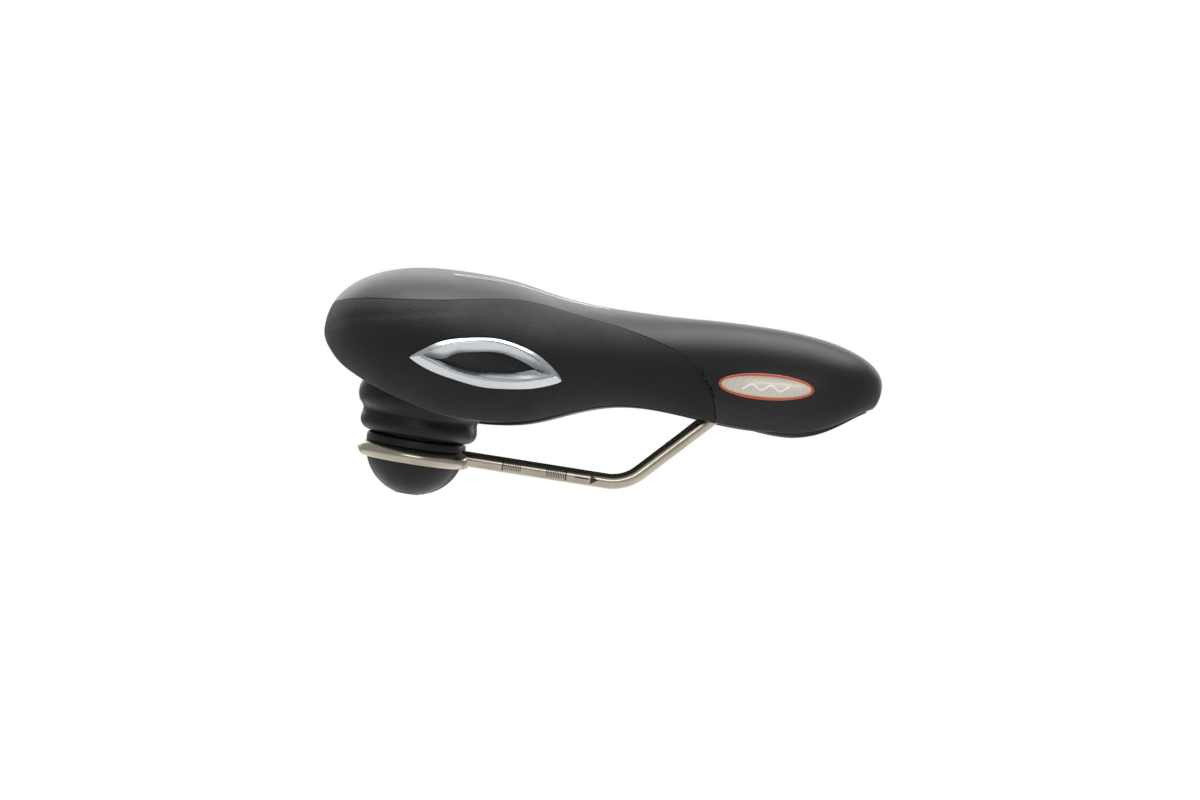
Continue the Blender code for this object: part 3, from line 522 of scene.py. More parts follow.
def smooth_vinyl():
    """Black satin vinyl: almost smooth, with the faint orange-peel of a sheet stretched over foam."""
    made, shader, place = finish("smooth_vinyl")
    fine = noise(made, place, 2200.0, Roughness=0.55)
    cloud = noise(made, place, 30.0)
    height = calc(made, "MULTIPLY_ADD", noise(made, place, 260.0), 0.8, fine)
    dress(
        shader, Base_Color=ramp(made, cloud, "#121212", "#181819"),
        Roughness=spread(made, cloud, 0.40, 0.46), Normal=bumped(made, height, 0.35, 0.00006),
        Specular_IOR_Level=0.4,
    )
    return made


SPINE_SHARE = 0.69  # the share of the top cover's columns that end on the seam
SPINE_AT_SEAM_END = 13.1


def top_end(u):
    """(place along the middle line, (a, b) on the border) of the top cover's column u."""
    if u <= SPINE_SHARE:
        t = u / SPINE_SHARE
        return SPINE_AT_SEAM_END * t, beside_seam(t, SEAM_GAP + SEAM_ROLL)
    t = (u - SPINE_SHARE) / (1 - SPINE_SHARE)
    on_middle = SPINE_AT_SEAM_END + (LAST - SPINE_AT_SEAM_END) * t
    return on_middle, Vector((SEAM_END + (LAST - SEAM_END) * t, 2.0))


def top_place(u, v):
    """Where the top cover's grid goes: u from tail to nose, v from the right border to the left."""
    on_middle, end = top_end(u)
    v = 2 * v - 1
    side = 1 if v >= 0 else -1
    at = Vector((on_middle, 0.0))
    length = sum((form(*(at + (end - at) * t)) - form(*(at + (end - at) * (t - 0.1)))).length
                 for t in steps(0.1, 1.0, 9))
    short = HEM_ROLL * min(max((u / SPINE_SHARE - 0.9) / 0.1, 0.0), 1.0)
    reach = abs(v) * (1 - min(short / length, 0.3))
    p = form(*(at + (end - at) * reach), side)
    if v == 0 or u in (0.0, 1.0):
        p.y = 0.0
    return p


SMOOTH_VINYL = smooth_vinyl()
sheet = grid(264, 112, top_place)
face_out(sheet, 45)
roll_edge(sheet, edge_radius, 1.2)
cover = make("smooth_top_cover", sheet, SMOOTH_VINYL, "saddle", "smooth_vinyl", "top_cover")
wall(cover, 0.45)

# ---- Moulded base ---------------------------------------------------------------------------
# Glass-filled nylon, injection moulded: a dished pan whose rim closes the covers, with two ribs,
# a boss and a nut tower over each spring, the upper half of the nose bearing and a flat pad
# behind. Smooth and slightly glossy, with its corners eased by the mould.

RIM_DROP = [  # every 20 mm from the nose's pole: how far the rim shows under the covers
    (0.3, 0.0), (2.6, 0.0), (3.4, 0.0), (2.4, 0.0),
]
PAN_POWER = 2.4  # squareness of the pan's section
PAN_INSET = 2.2  # its rim inside the covers' lower edge
BASE_WALL = 2.6
PIVOT = Vector((102.0, 0.0, 43.0))  # the hinge axis, which runs along Y under the nose
RAIL_R = 3.5
RIB_START, RIB_LONG, RIB_DEEP, RIB_Y = -60.0, 148.0, 5.0, 9.0
PAD = ((-99.0, -79.0), (-13.0, 13.0), (34.0, 42.0))  # the flat pad for a light or a bag holder
rim_drop = smooth_curve(RIM_DROP)


def pan(a, r, side, lift=0.0):
    """A point of the pan's top, r from 0 in the middle to 1 at the rim."""
    x, y, _, edge, tuck = outline(a)
    pole = pole_of(x)
    out = Vector((x - pole, y))
    out *= 1 - (tuck + PAN_INSET) / out.length
    rim = edge + 0.6 - rim_drop(max(x - NOSE_POLE, 0.0) / SPINE_STEP)[0]
    rise = max(1 - r**PAN_POWER, 0.0) ** (1 / PAN_POWER)
    top = spine_at(pole)[3]
    return Vector((pole + out.x * r, out.y * r * side, rim + (top - rim) * rise + lift))


def pan_place(u, v):
    v = 2 * v - 1
    turn = math.sin(abs(v) * math.pi / 2)  # closer rows at the steep rim
    p = pan(LAST * u, turn, 1 if v >= 0 else -1)
    if v == 0 or u in (0.0, 1.0):
        p.y = 0.0
    return p


def box_bm(x, y, z, soft):
    """A block between pairs of x, y and z, its edges rounded."""
    bm = bmesh.new()
    bmesh.ops.create_cube(bm, size=1.0)
    for v in bm.verts:
        v.co = Vector([mm * (lo if c < 0 else hi) for c, (lo, hi) in zip(v.co, (x, y, z))])
    bmesh.ops.bevel(
        bm, geom=bm.edges[:], offset=soft * mm, segments=4, profile=0.5, affect="EDGES", material=-1
    )
    return bm


def rounded(corners, closed=True, bits=5):
    """A profile from corners of (radius, height, rounding), each one rounded off."""
    found = []
    count = len(corners)
    for k, (r, z, soft) in enumerate(corners):
        here = Vector((r, z))
        if soft == 0 or (not closed and k in (0, count - 1)):
            found.append((r, z))
            continue
        before, after = Vector(corners[k - 1][:2]), Vector(corners[(k + 1) % count][:2])
        into, out = (here - before).normalized(), (after - here).normalized()
        half = into.angle(out) / 2
        cut = min(soft * math.tan(half), 0.48 * (here - before).length, 0.48 * (after - here).length)
        soft = cut / math.tan(half)
        across = (out - into * into.dot(out)).normalized()
        centre = here - into * cut + across * soft
        for t in steps(0.0, 2 * half, bits):
            p = centre - across * soft * math.cos(t) + into * soft * math.sin(t)
            found.append((p.x, p.y))
    return found


def spun(profile, place, count=96):
    """A profile of radius and height in mm spun about the Z axis, and put in its place. It ends
    on the axis, or closes on itself round a bore."""
    bm = bmesh.new()
    line = [bm.verts.new(Vector((r, 0, z)) * mm) for r, z in profile]
    run = [bm.edges.new(pair) for pair in zip(line, line[1:])]
    if min(r for r, _ in profile) > 0:
        run.append(bm.edges.new((line[-1], line[0])))
    bmesh.ops.spin(
        bm, geom=line + run, cent=(0, 0, 0), axis=(0, 0, 1), dvec=(0, 0, 0), angle=2 * math.pi,
        steps=count, use_merge=True,
    )
    bmesh.ops.remove_doubles(bm, verts=bm.verts, dist=0.003 * mm)
    even(bm)
    bmesh.ops.transform(bm, matrix=place, verts=bm.verts)
    return bm


def post(r, low, high, place, soft=0.0, count=64):
    """A solid cylinder between two heights, its rims rounded by soft."""
    corners = [(0, high, 0), (r, high, soft), (r, low, soft), (0, low, 0)]
    return spun(rounded(corners, False), place, count)


def worked_out(thing):
    """Its mesh with every modifier in it."""
    return bpy.data.meshes.new_from_object(
        thing.evaluated_get(bpy.context.evaluated_depsgraph_get())
    )


def combine(piece, operation, *shapes):
    """Joins shapes to a piece or cuts them from it."""
    for shape in shapes:
        other = linked("shape", meshed("shape", shape))
        made = piece.modifiers.new("combine", "BOOLEAN")
        made.operation, made.solver, made.object = operation, "EXACT", other
    settle(piece)


def settle(piece, sharp=38.0):
    """Works the modifiers into a piece's mesh and keeps the edges between its flats crisp."""
    bpy.context.view_layer.update()
    used = [m.object for m in piece.modifiers if m.type == "BOOLEAN"]
    mesh = worked_out(piece)
    piece.modifiers.clear()
    piece.data = mesh
    mesh.shade_smooth()
    mesh.set_sharp_from_angle(angle=math.radians(sharp))
    for other in used:
        bpy.data.objects.remove(other)


def moulded_nylon():
    """Black glass-filled nylon: a low gloss broken up by a very fine spark-eroded texture."""
    made, shader, place = finish("glass_filled_nylon")
    flow = noise(made, place, 55.0, 3.0)
    dress(
        shader, Base_Color=ramp(made, flow, "#151516", "#1d1d1f"),
        Roughness=spread(made, flow, 0.27, 0.38),
        Normal=bumped(made, noise(made, place, 3200.0), 0.2, 0.00006),
    )
    return made


LOOP_X = -62.5
LOOP_R = 21.5
LOOP_CANT = math.radians(4.0)
RAIL_Y = 22.0
LOOP_Y = RAIL_Y + LOOP_R * math.cos(LOOP_CANT)
LOOP_Z = -LOOP_R * math.sin(LOOP_CANT)


def on_axis(side):
    """Puts a shape on an elastomer's axis: its Z runs up the axis from the plane of the loop."""
    centre = Vector((LOOP_X, side * LOOP_Y, LOOP_Z)) * mm
    return Matrix.Translation(centre) @ Matrix.Rotation(-side * LOOP_CANT, 4, "X")


def across_nose(x, z):
    """Puts a shape's Z axis along Y, through x and z."""
    return Matrix.Translation(Vector((x, 0, z)) * mm) @ Matrix.Rotation(math.pi / 2, 4, "X")


def upright(x, y=0.0):
    return Matrix.Translation(Vector((x, y, 0)) * mm)


def hexagon(across, low, high, place):
    """A hexagonal prism by its width across flats."""
    bm = bmesh.new()
    r = across / math.sqrt(3) * mm
    bmesh.ops.create_cone(
        bm, cap_ends=True, segments=6, radius1=r, radius2=r, depth=(high - low) * mm
    )
    bmesh.ops.translate(bm, verts=bm.verts, vec=(0, 0, (low + high) / 2 * mm))
    bmesh.ops.transform(bm, matrix=place, verts=bm.verts)
    return bm


SPRING_HEAD = 32.5
BOSS_TOP = 39.0
BOSS_R = 26.5
TOWER_TOP = 43.5
TOWER_R = 9.5
NUT_LOW, NUT_HIGH = 37.1, 42.1
BOLT_R = 3.0
BLOCK_X = (91.0, 113.0)
BLOCK_HALF = 6.8
BLOCK_TOP = 55.8
SCREW_X = (94.7, 109.3)
SCREW_R = 1.6


def rib_place(y):
    """Where a rib's grid goes: u along it, v round its section."""

    def place(u, v):
        x = RIB_START + RIB_LONG * u
        a = a_at_x(x)
        reach = abs(y) / (outline(a)[1] - outline(a)[4] - PAN_INSET)
        top = pan(a, reach, 1).z - BASE_WALL / 2
        foot = top - BASE_WALL / 2 - RIB_DEEP * (1 - (2 * abs(u - 0.5)) ** 8)
        around = [(-1.0, top), (1.0, top), (0.8, foot), (-0.8, foot), (-1.0, top)]
        k = min(int(v * 4 + 1e-6), 3)
        f = v * 4 - k
        dy = around[k][0] * (1 - f) + around[k + 1][0] * f
        return Vector((x, y + dy, around[k][1] * (1 - f) + around[k + 1][1] * f))

    return place


NYLON = moulded_nylon()
sheet = grid(200, 56, pan_place)
face_out(sheet, 20)
base = make("moulded_base", sheet, NYLON, "saddle", "base_plastic", "base_shell")
wall(base, BASE_WALL)
settle(base)
solid = bmesh.new()
solid.from_mesh(base.data)
rims = [e for e in solid.edges if e.is_manifold and e.calc_face_angle(0.0) > math.radians(50)]
bmesh.ops.bevel(
    solid, geom=rims, offset=0.55 * mm, segments=3, profile=0.5, affect="EDGES", material=-1
)
solid.to_mesh(base.data)
solid.free()
joined = [
    box_bm(BLOCK_X, (-BLOCK_HALF, BLOCK_HALF), (PIVOT.z + 0.15, BLOCK_TOP), 0.8),
    box_bm(*PAD, 0.8),
]
for y in (RIB_Y, -RIB_Y):
    rib = grid(60, 4, rib_place(y))
    bmesh.ops.holes_fill(rib, edges=[e for e in rib.edges if e.is_boundary])
    even(rib)
    joined.append(rib)
for side, _ in SIDES:
    joined.append(post(BOSS_R, SPRING_HEAD + 0.3, BOSS_TOP, on_axis(side), 0.8))
    joined.append(post(TOWER_R, BOSS_TOP - 1.5, TOWER_TOP, on_axis(side), 0.8))
combine(base, "UNION", *joined)
cuts = [post(RAIL_R + 0.4, -20.0, 20.0, across_nose(PIVOT.x, PIVOT.z))]
for x in SCREW_X:
    cuts.append(post(SCREW_R + 0.2, 38.0, 52.0, upright(x), count=32))
for side, _ in SIDES:
    cuts.append(post(BOLT_R + 0.3, 30.0, 46.0, on_axis(side), count=48))
    cuts.append(hexagon(10.6, NUT_LOW - 0.3, 50.0, on_axis(side)))
combine(base, "DIFFERENCE", *cuts)

# ---- Padding and gel ------------------------------------------------------------------------
# Moulded polyurethane foam fills the covers down to the base, and a gel pad is let into it under
# each sit bone. Neither shows on a finished saddle.


def open_cell_foam():
    """Cream polyurethane foam: matte, with open cells about 0.6 mm across."""
    made, shader, place = finish("polyurethane_foam")
    cells = node(made, "TexVoronoi", Vector=place, Scale=1600.0).outputs["Distance"]
    dress(
        shader, Base_Color=ramp(made, cells, "#a89f86", "#d8d0b8"),
        Normal=bumped(made, cells, 0.7, 0.0003), Roughness=0.9,
    )
    return made


def soft_gel():
    """Blue-grey silicone gel in its film: smooth, with a wet shine."""
    made, shader, place = finish("silicone_gel")
    tone = ramp(made, noise(made, place, 60.0), "#4b6576", "#6c8797")
    dress(shader, Base_Color=tone, Roughness=0.22, Coat_Weight=0.4)
    return made


def over_plan(x, y):
    """(a, b) of the top over a point of the plan, y to the left of the middle."""
    low, high = 0.0, float(LAST)
    for _ in range(26):
        a = (low + high) / 2
        ox, oy = outline(a).xy
        pole = pole_of(ox)
        low, high = (a, high) if (ox - pole) * y - oy * (x - pole) < 0 else (low, a)
    reach = min(Vector((x - pole, y)).length / Vector((ox - pole, oy)).length, 1.0)
    return a, math.asin(reach ** (TOP_POWER / 2)) * 2 / math.pi


GEL = dict(x=-60.0, y=49.0, long=38.0, wide=30.0, half=4.0, under=4.5)
FOAM_INSET = 3.6  # how far the foam lies inside the covers
FOAM_REACH = 1.84  # and how far down their sides it goes
FOAM_SHARE = 0.62  # the share of the foam's section that lies under the covers


def gel_bm(side):
    """A lens that follows the top, this far under it."""
    bm = bmesh.new()
    bmesh.ops.create_uvsphere(bm, u_segments=48, v_segments=20, radius=1.0)
    for v in bm.verts:
        x, y = GEL["x"] + GEL["long"] * v.co.x, GEL["y"] + GEL["wide"] * v.co.y
        top = form(*over_plan(x, y)).z - GEL["under"]
        v.co = Vector((x, y * side, top + (v.co.z - 1) * GEL["half"])) * mm
    if side < 0:
        bmesh.ops.reverse_faces(bm, faces=bm.faces)
    return bm


def foam_place(u, v):
    """Where the foam's grid goes: v runs over the top, then back along the base."""
    a = LAST * u
    if v <= FOAM_SHARE:
        w = 2 * v / FOAM_SHARE - 1
        side = 1 if w >= 0 else -1
        b = FOAM_REACH * abs(w)
        p = form(a, b, side) - form_normal(a, b, side) * FOAM_INSET
    else:
        w = 1 - 2 * (v - FOAM_SHARE) / (1 - FOAM_SHARE)
        side = 1 if w >= 0 else -1
        p = pan(a, math.sin(abs(w) * math.pi / 2) * 0.985, side, 0.6)
    if w == 0 or u in (0.0, 1.0):
        p.y = 0.0
    return p


FOAM = open_cell_foam()
GEL_BLUE = soft_gel()
sheet = grid(110, 100, foam_place)
even(sheet)
foam = make("moulded_foam", sheet, FOAM, "saddle", "foam", "foam_core")
wells = []
for side, _ in SIDES:
    wells.append(post(BOSS_R + 0.9, 28.0, BOSS_TOP + 1.0, on_axis(side)))
    wells.append(post(TOWER_R + 0.9, 28.0, TOWER_TOP + 1.1, on_axis(side)))
    wells.append(gel_bm(side))
combine(foam, "DIFFERENCE", *wells)
for side, word in SIDES:
    gel = make(f"gel_insert_{word}", gel_bm(side), GEL_BLUE, "saddle", "gel", f"gel_pad_{word}")

# ---- Printed line on the seat ----------------------------------------------------------------
# A thin silver ink line on each half of the top: a long narrow leaf, round behind and pointed in
# front. It is screen printed on the smooth cover.

LEAF = [  # plan of its middle line: x, y, half width
    (-56.0, 55.0, 0.0),
    (-53.5, 54.6, 1.7),
    (-48.0, 53.4, 2.3),
    (-36.0, 50.0, 2.0),
    (-20.0, 44.4, 1.4),
    (-4.0, 37.4, 0.9),
    (8.0, 32.0, 0.5),
    (16.0, 28.2, 0.0),
]
INK_HALF = 0.6
INK_PROUD = 0.1
leaf = smooth_curve(LEAF)


def silver_ink():
    """Silver screen ink: fine metal flake in a clear binder, slightly uneven."""
    made, shader, place = finish("silver_ink")
    tone = ramp(made, noise(made, place, 4000.0, 1.0), "#a9aaab", "#e6e7e8")
    dress(shader, Base_Color=tone, Metallic=0.5, Roughness=0.4)
    return made


def leaf_edge(t):
    """A point of the leaf's outline, t from 0 to 1 round it."""
    out = t < 0.5
    s = 2 * t if out else 2 - 2 * t
    place = (len(LEAF) - 1) * (1 - math.cos(math.pi * s)) / 2
    x, y, half = leaf(place)
    ahead, behind = leaf(min(place + 0.05, len(LEAF) - 1)), leaf(max(place - 0.05, 0.0))
    run = Vector((ahead.x - behind.x, ahead.y - behind.y)).normalized()
    wide = Vector((-run.y, run.x)) * max(half, 0.0)
    return Vector((x, y)) + (wide if out else -wide)


def ink_place(side):
    def place(u, v):
        step = 0.004
        run = (leaf_edge((u + step) % 1) - leaf_edge((u - step) % 1)).normalized()
        here = leaf_edge(u) + Vector((-run.y, run.x)) * INK_HALF * (2 * v - 1)
        a, b = over_plan(here.x, here.y)
        p = form(a, b, side)
        return p + form_normal(a, b, side) * INK_PROUD

    return place


SILVER_INK = silver_ink()
for side, word in SIDES:
    sheet = grid(220, 2, ink_place(side))
    face_out(sheet, 45)
    ink = make(f"printed_line_{word}", sheet, SILVER_INK, "saddle", "satin_silver")
    wall(ink, 0.1)

# ---- Side windows ----------------------------------------------------------------------------
# A pointed oval on each side: a satin chromed frame, moulded in ABS, that laps over the cover,
# rises to a ridge and falls in to a soft black window set below the cover.

FRAME_OUTER = (
    [(-69.2, 40.6), (-57.7, 48.7), (-48.3, 52.1), (-40.0, 53.8), (-30.6, 54.6), (-20.9, 53.2),
     (-11.9, 50.1), (-4.3, 45.0), (-0.3, 41.1)],
    [(-69.2, 40.6), (-61.7, 37.1), (-52.5, 34.7), (-40.7, 32.9), (-31.7, 32.6), (-20.7, 33.9),
     (-11.9, 35.8), (-4.2, 38.8), (-0.3, 41.1)],
)
FRAME_RIDGE = (
    [(-63.0, 42.5), (-54.3, 47.5), (-46.2, 50.1), (-37.9, 51.9), (-29.3, 52.1), (-20.5, 50.5),
     (-11.3, 46.6), (-5.4, 43.2)],
    [(-63.0, 42.5), (-58.3, 41.2), (-50.2, 38.6), (-38.5, 37.1), (-27.1, 37.6), (-15.9, 39.8),
     (-5.4, 43.2)],
)
FRAME_INNER = (
    [(-58.3, 41.4), (-53.5, 42.2), (-48.5, 45.2), (-40.1, 47.5), (-31.5, 48.8), (-22.8, 47.9),
     (-13.8, 44.8), (-9.9, 43.2)],
    [(-58.3, 41.4), (-50.4, 40.0), (-44.4, 39.1), (-37.6, 38.8), (-30.1, 39.6), (-21.7, 40.9),
     (-13.1, 43.6), (-9.9, 43.2)],
)
WINDOW_SUNK = 2.4
TIP_ROUND = 1.2


def oval_arc(rows):
    """A smooth open curve through (x, z) rows, from 0 to 1."""
    curve = smooth_curve(rows)
    return lambda s: curve(s * (len(rows) - 1))


def pointed_oval(pair):
    """The closed outline over and back under, t from 0 to 1 round it."""
    over, under = (oval_arc(rows) for rows in pair)
    ease = lambda s: (1 - math.cos(math.pi * s)) / 2
    return lambda t: over(ease(2 * t)) if t <= 0.5 else under(ease(2 - 2 * t))


def blunted(curve, rear, front):
    """The same outline with its two tips rounded off."""

    def soft(d):
        return math.sqrt(d * d + TIP_ROUND**2) - 0.7 * math.exp(-abs(d) / 5)

    def place(t):
        p = curve(t)
        if p.x < (rear + front) / 2:
            return Vector((rear + soft(p.x - rear), p.y))
        return Vector((front - soft(front - p.x), p.y))

    return place


outer, ridge, inner = (pointed_oval(pair) for pair in (FRAME_OUTER, FRAME_RIDGE, FRAME_INNER))
outer = blunted(outer, FRAME_OUTER[0][0][0], FRAME_OUTER[0][-1][0])
FRAME_SECTION = [  # which outlines a row lies between, how far, and how far out from the cover
    (outer, inner, 0.02, -1.2),
    (outer, inner, 0.0, -0.4),
    (outer, ridge, 0.0, 0.25),
    (outer, ridge, 0.05, 0.52),
    (outer, ridge, 0.16, 0.72),
    (outer, ridge, 0.34, 1.1),
    (outer, ridge, 0.55, 1.5),
    (outer, ridge, 0.74, 1.84),
    (outer, ridge, 0.8, 1.55),
    (outer, ridge, 0.88, 1.55),
    (outer, ridge, 0.92, 2.04),
    (outer, ridge, 1.0, 2.0),
    (ridge, inner, 0.05, 1.7),
    (ridge, inner, 0.3, 0.75),
    (ridge, inner, 0.65, -0.6),
    (ridge, inner, 0.95, -1.75),
    (ridge, inner, 1.0, -2.0),
    (ridge, inner, 1.0, -2.9),
    (outer, inner, 0.7, -2.9),
    (outer, inner, 0.3, -2.0),
]


def frame_place(side):
    """Where the frame's grid goes: u round the oval, v round the section."""

    def place(u, v):
        k = round(v * len(FRAME_SECTION)) % len(FRAME_SECTION)
        first, second, share, proud = FRAME_SECTION[k]
        x, z = first(u % 1) * (1 - share) + second(u % 1) * share
        return on_side(x, z, proud, side)

    return place


def open_cover(cover):
    """Cuts the cover away under the frame, so that the window can lie below it."""
    around = [outer(t) for t in steps(0.0, 1.0, 160)]

    def inside(x, z):
        crossings = 0
        for p, q in zip(around, around[1:] + around[:1]):
            if (p.y > z) != (q.y > z) and x < p.x + (q.x - p.x) * (z - p.y) / (q.y - p.y):
                crossings += 1
        return crossings % 2 == 1

    bm = bmesh.new()
    bm.from_mesh(cover.data)
    within = {v for v in bm.verts if inside(v.co.x / mm, v.co.z / mm)}
    covered = [f for f in bm.faces if all(v in within for v in f.verts)]
    bmesh.ops.delete(bm, geom=covered, context="FACES")
    bm.to_mesh(cover.data)
    bm.free()


def window_place(side):
    def place(u, v):
        low, high = inner(1 - u / 2), inner(u / 2)
        x, z = low + (high - low) * (-0.06 + 1.12 * v)
        sunk = WINDOW_SUNK - 0.5 * math.sin(math.pi * u) * math.sin(math.pi * v)
        return on_side(x, z, -sunk, side)

    return place


def satin_chrome():
    """Satin chrome on ABS: pale, softly brushed along the oval, with an even gloss."""
    made, shader, place = finish("satin_chrome")
    along_it = node(made, "Mapping", Vector=place, Scale=(90.0, 90.0, 2600.0)).outputs["Vector"]
    hair = noise(made, along_it, 1.0, 3.0)
    dress(
        shader, Base_Color=linear("#ccd0d3"), Metallic=1.0,
        Roughness=spread(made, hair, 0.24, 0.34), Normal=bumped(made, hair, 0.12, 0.00003),
    )
    return made


def window_rubber():
    """Soft black moulded rubber in the window, dull and finely pebbled."""
    made, shader, place = finish("window_rubber")
    pebble = node(made, "TexVoronoi", {"feature": "SMOOTH_F1"}, Vector=place, Scale=1400.0)
    dress(
        shader, Base_Color=linear("#171717"), Roughness=0.5, Specular_IOR_Level=0.35,
        Normal=bumped(made, pebble.outputs["Distance"], 0.35, 0.00015),
    )
    return made


CHROME = satin_chrome()
WINDOW = window_rubber()
for side, word in SIDES:
    open_cover(side_covers[side])
    ring = grid(200, len(FRAME_SECTION), frame_place(side))
    even(ring)
    bezel = make(f"window_frame_{word}", ring, CHROME, "saddle", "satin_silver", f"eye_bezel_{word}")
    bezel.data.set_sharp_from_angle(angle=math.radians(32))
    pane = grid(90, 20, window_place(side))
    face_out(pane, 45)
    pane = make(f"window_pane_{word}", pane, WINDOW, "saddle", "window_black", f"eye_window_{word}")
    wall(pane, 0.8)

# ---- Nose badges ------------------------------------------------------------------------------
# An oval plate on each side of the nose in an orange rim. The cream plate is brushed in arcs and
# carries a raised white wave as its only mark.

BADGE = dict(x=91.4, z=53.6, half=22.0, rise=6.0, tilt=math.radians(4.5))
PLATE_INSET = 1.2
RING_SECTION = [  # inwards from the outline, and out from the cover
    (0.15, -0.8), (0.0, -0.2), (0.0, 0.4), (0.12, 0.72), (0.42, 0.95), (0.8, 0.98), (1.1, 0.8),
    (1.25, 0.5), (1.25, -0.1), (1.1, -0.8),
]


def badge_point(t, inset, proud, side, share=1.0):
    """A point of the badge's outline, moved inwards, and then to a share of the way out."""
    angle = 2 * math.pi * t
    along_it = (BADGE["half"] - inset) * math.cos(angle) * share
    over = (BADGE["rise"] - inset) * math.sin(angle) * share
    lean, lift = math.cos(BADGE["tilt"]), math.sin(BADGE["tilt"])
    x = BADGE["x"] + along_it * lean - over * lift
    z = BADGE["z"] + along_it * lift + over * lean
    return on_side(x, z, proud, side)


def ring_place(side):
    def place(u, v):
        inset, proud = RING_SECTION[round(v * len(RING_SECTION)) % len(RING_SECTION)]
        return badge_point(u, inset, proud, side)

    return place


def plate_place(side):
    """The plate's grid: u round it, v from its rim to its middle, where it is a little fuller."""

    def place(u, v):
        share = math.cos(v * math.pi / 2)
        return badge_point(u, PLATE_INSET, 0.35 + 0.45 * (1 - share**2), side, share)

    return place


def orange_enamel():
    """Burnt orange enamel with a clear gloss."""
    made, shader, place = finish("orange_enamel")
    tone = ramp(made, noise(made, place, 350.0), "#b8431a", "#d2582a")
    dress(shader, Base_Color=tone, Roughness=0.3, Coat_Weight=0.5)
    return made


def cream_plate():
    """Champagne lacquer over brushed arcs, with a raised white wave."""
    made, shader, place = finish("cream_plate")
    own = node(
        made, "Mapping", {"vector_type": "TEXTURE"}, Vector=place,
        Location=(BADGE["x"] * mm, 0.0, BADGE["z"] * mm), Rotation=(0.0, -BADGE["tilt"], 0.0),
        Scale=(mm, mm, mm),
    ).outputs["Vector"]
    x, _, z = axes_of(made, own)
    swing = calc(made, "SINE", calc(made, "MULTIPLY", x, 0.72))
    line = calc(made, "COMPARE", calc(made, "MULTIPLY_ADD", swing, -1.15, z), -0.4, 0.52)
    wave = calc(made, "MULTIPLY", line, calc(made, "COMPARE", x, 0.0, 10.9))
    centre = node(made, "Mapping", Vector=own, Location=(-3.0, 0.0, 5.0)).outputs["Vector"]
    flat = node(made, "VectorMath", {"operation": "MULTIPLY"}, _0=centre, _1=(1.0, 0.0, 1.0))
    far = node(made, "VectorMath", {"operation": "LENGTH"}, _0=flat.outputs["Vector"])
    hair = node(
        made, "TexNoise", {"noise_dimensions": "1D"}, W=far.outputs["Value"], Scale=2.2,
        Detail=4.0, Roughness=0.7,
    ).outputs["Fac"]
    marked = node(
        made, "Mix", {"data_type": "RGBA"}, _0=wave,
        _6=ramp(made, hair, "#c9c1b0", "#efe9dc", 0.3, 0.7), _7=linear("#ffffff"),
    )
    relief = calc(made, "MULTIPLY_ADD", hair, 0.12, wave)
    dress(
        shader, Base_Color=marked.outputs[2], Metallic=0.15, Roughness=0.35,
        Normal=bumped(made, relief, 0.5, 0.0002), Coat_Weight=0.3,
    )
    return made


ORANGE = orange_enamel()
CREAM = cream_plate()
for side, word in SIDES:
    ring = grid(120, len(RING_SECTION), ring_place(side))
    even(ring)
    make(f"badge_rim_{word}", ring, ORANGE, "saddle", "badge_orange", f"badge_ring_{word}")
    plate = grid(120, 16, plate_place(side))
    face_out(plate, 53)
    plate = make(f"badge_face_{word}", plate, CREAM, "saddle", "badge_cream", f"badge_plate_{word}")
    wall(plate, 0.5)

# ---- Rail wire --------------------------------------------------------------------------------
# One length of 7 mm spring steel, satin nickel plated. It runs from a cross bar under the nose
# down and back along both sides of the clamp, and ends in a loop round each elastomer, welded to
# its own rail. A position scale and an arrow are printed in black on its outer side.

RAIL_BEND_X = 34.6  # where the clamp length's axis meets the rising length's
RAIL_RISE = math.radians(46.0)
NOSE_Y = 13.0
BAR_BEND, TOP_BEND, FOOT_BEND = 6.0, 14.0, 20.0  # radii of the wire's three bends
CLAMP_END_X = -30.0  # the clamp length's rear end
WELD_HALF = (3.6, 5.4, 3.0)
LOOP_END = 50.0  # degrees short of the rail where the loop's end is welded to it
SCALE_PITCH = 0.8
SCALE_FIELDS = ((-17.2, 4.4), (2.8, 4.6))  # middle and half length of each group of fine ticks


def bend(before, corner, after, radius, count):
    """Points of an arc that rounds the corner between two straight lengths."""
    into, out = (corner - before).normalized(), (after - corner).normalized()
    angle = into.angle(out)
    across = (out - into * into.dot(out)).normalized()
    centre = corner - into * radius * math.tan(angle / 2) + across * radius
    return [
        centre - across * radius * math.cos(t) + into * radius * math.sin(t)
        for t in steps(0.0, angle, count)
    ]


def half_wire():
    """The wire's axis from the middle of the cross bar to the end of the left loop."""
    top_x = RAIL_BEND_X + PIVOT.z / math.tan(RAIL_RISE)
    bar = PIVOT.copy()
    bar_corner = Vector((PIVOT.x, NOSE_Y, PIVOT.z))
    top_corner = Vector((top_x, NOSE_Y + 1.0, PIVOT.z))
    foot_corner = Vector((RAIL_BEND_X, RAIL_Y, 0))
    rear = Vector((CLAMP_END_X, RAIL_Y, 0))
    points = [bar]
    points += bend(bar, bar_corner, top_corner, BAR_BEND, 12)
    points += bend(bar_corner, top_corner, foot_corner, TOP_BEND, 16)
    points += bend(top_corner, foot_corner, rear, FOOT_BEND, 22)
    points += [Vector((x, RAIL_Y, 0)) for x in (10.0, -10.0)] + [rear]
    for t in steps(90.0, 450.0 - LOOP_END, 84):
        angle = math.radians(-t)
        spot = Vector((math.cos(angle), math.sin(angle), 0)) * LOOP_R * mm
        points.append(on_axis(1) @ spot / mm)
    return points


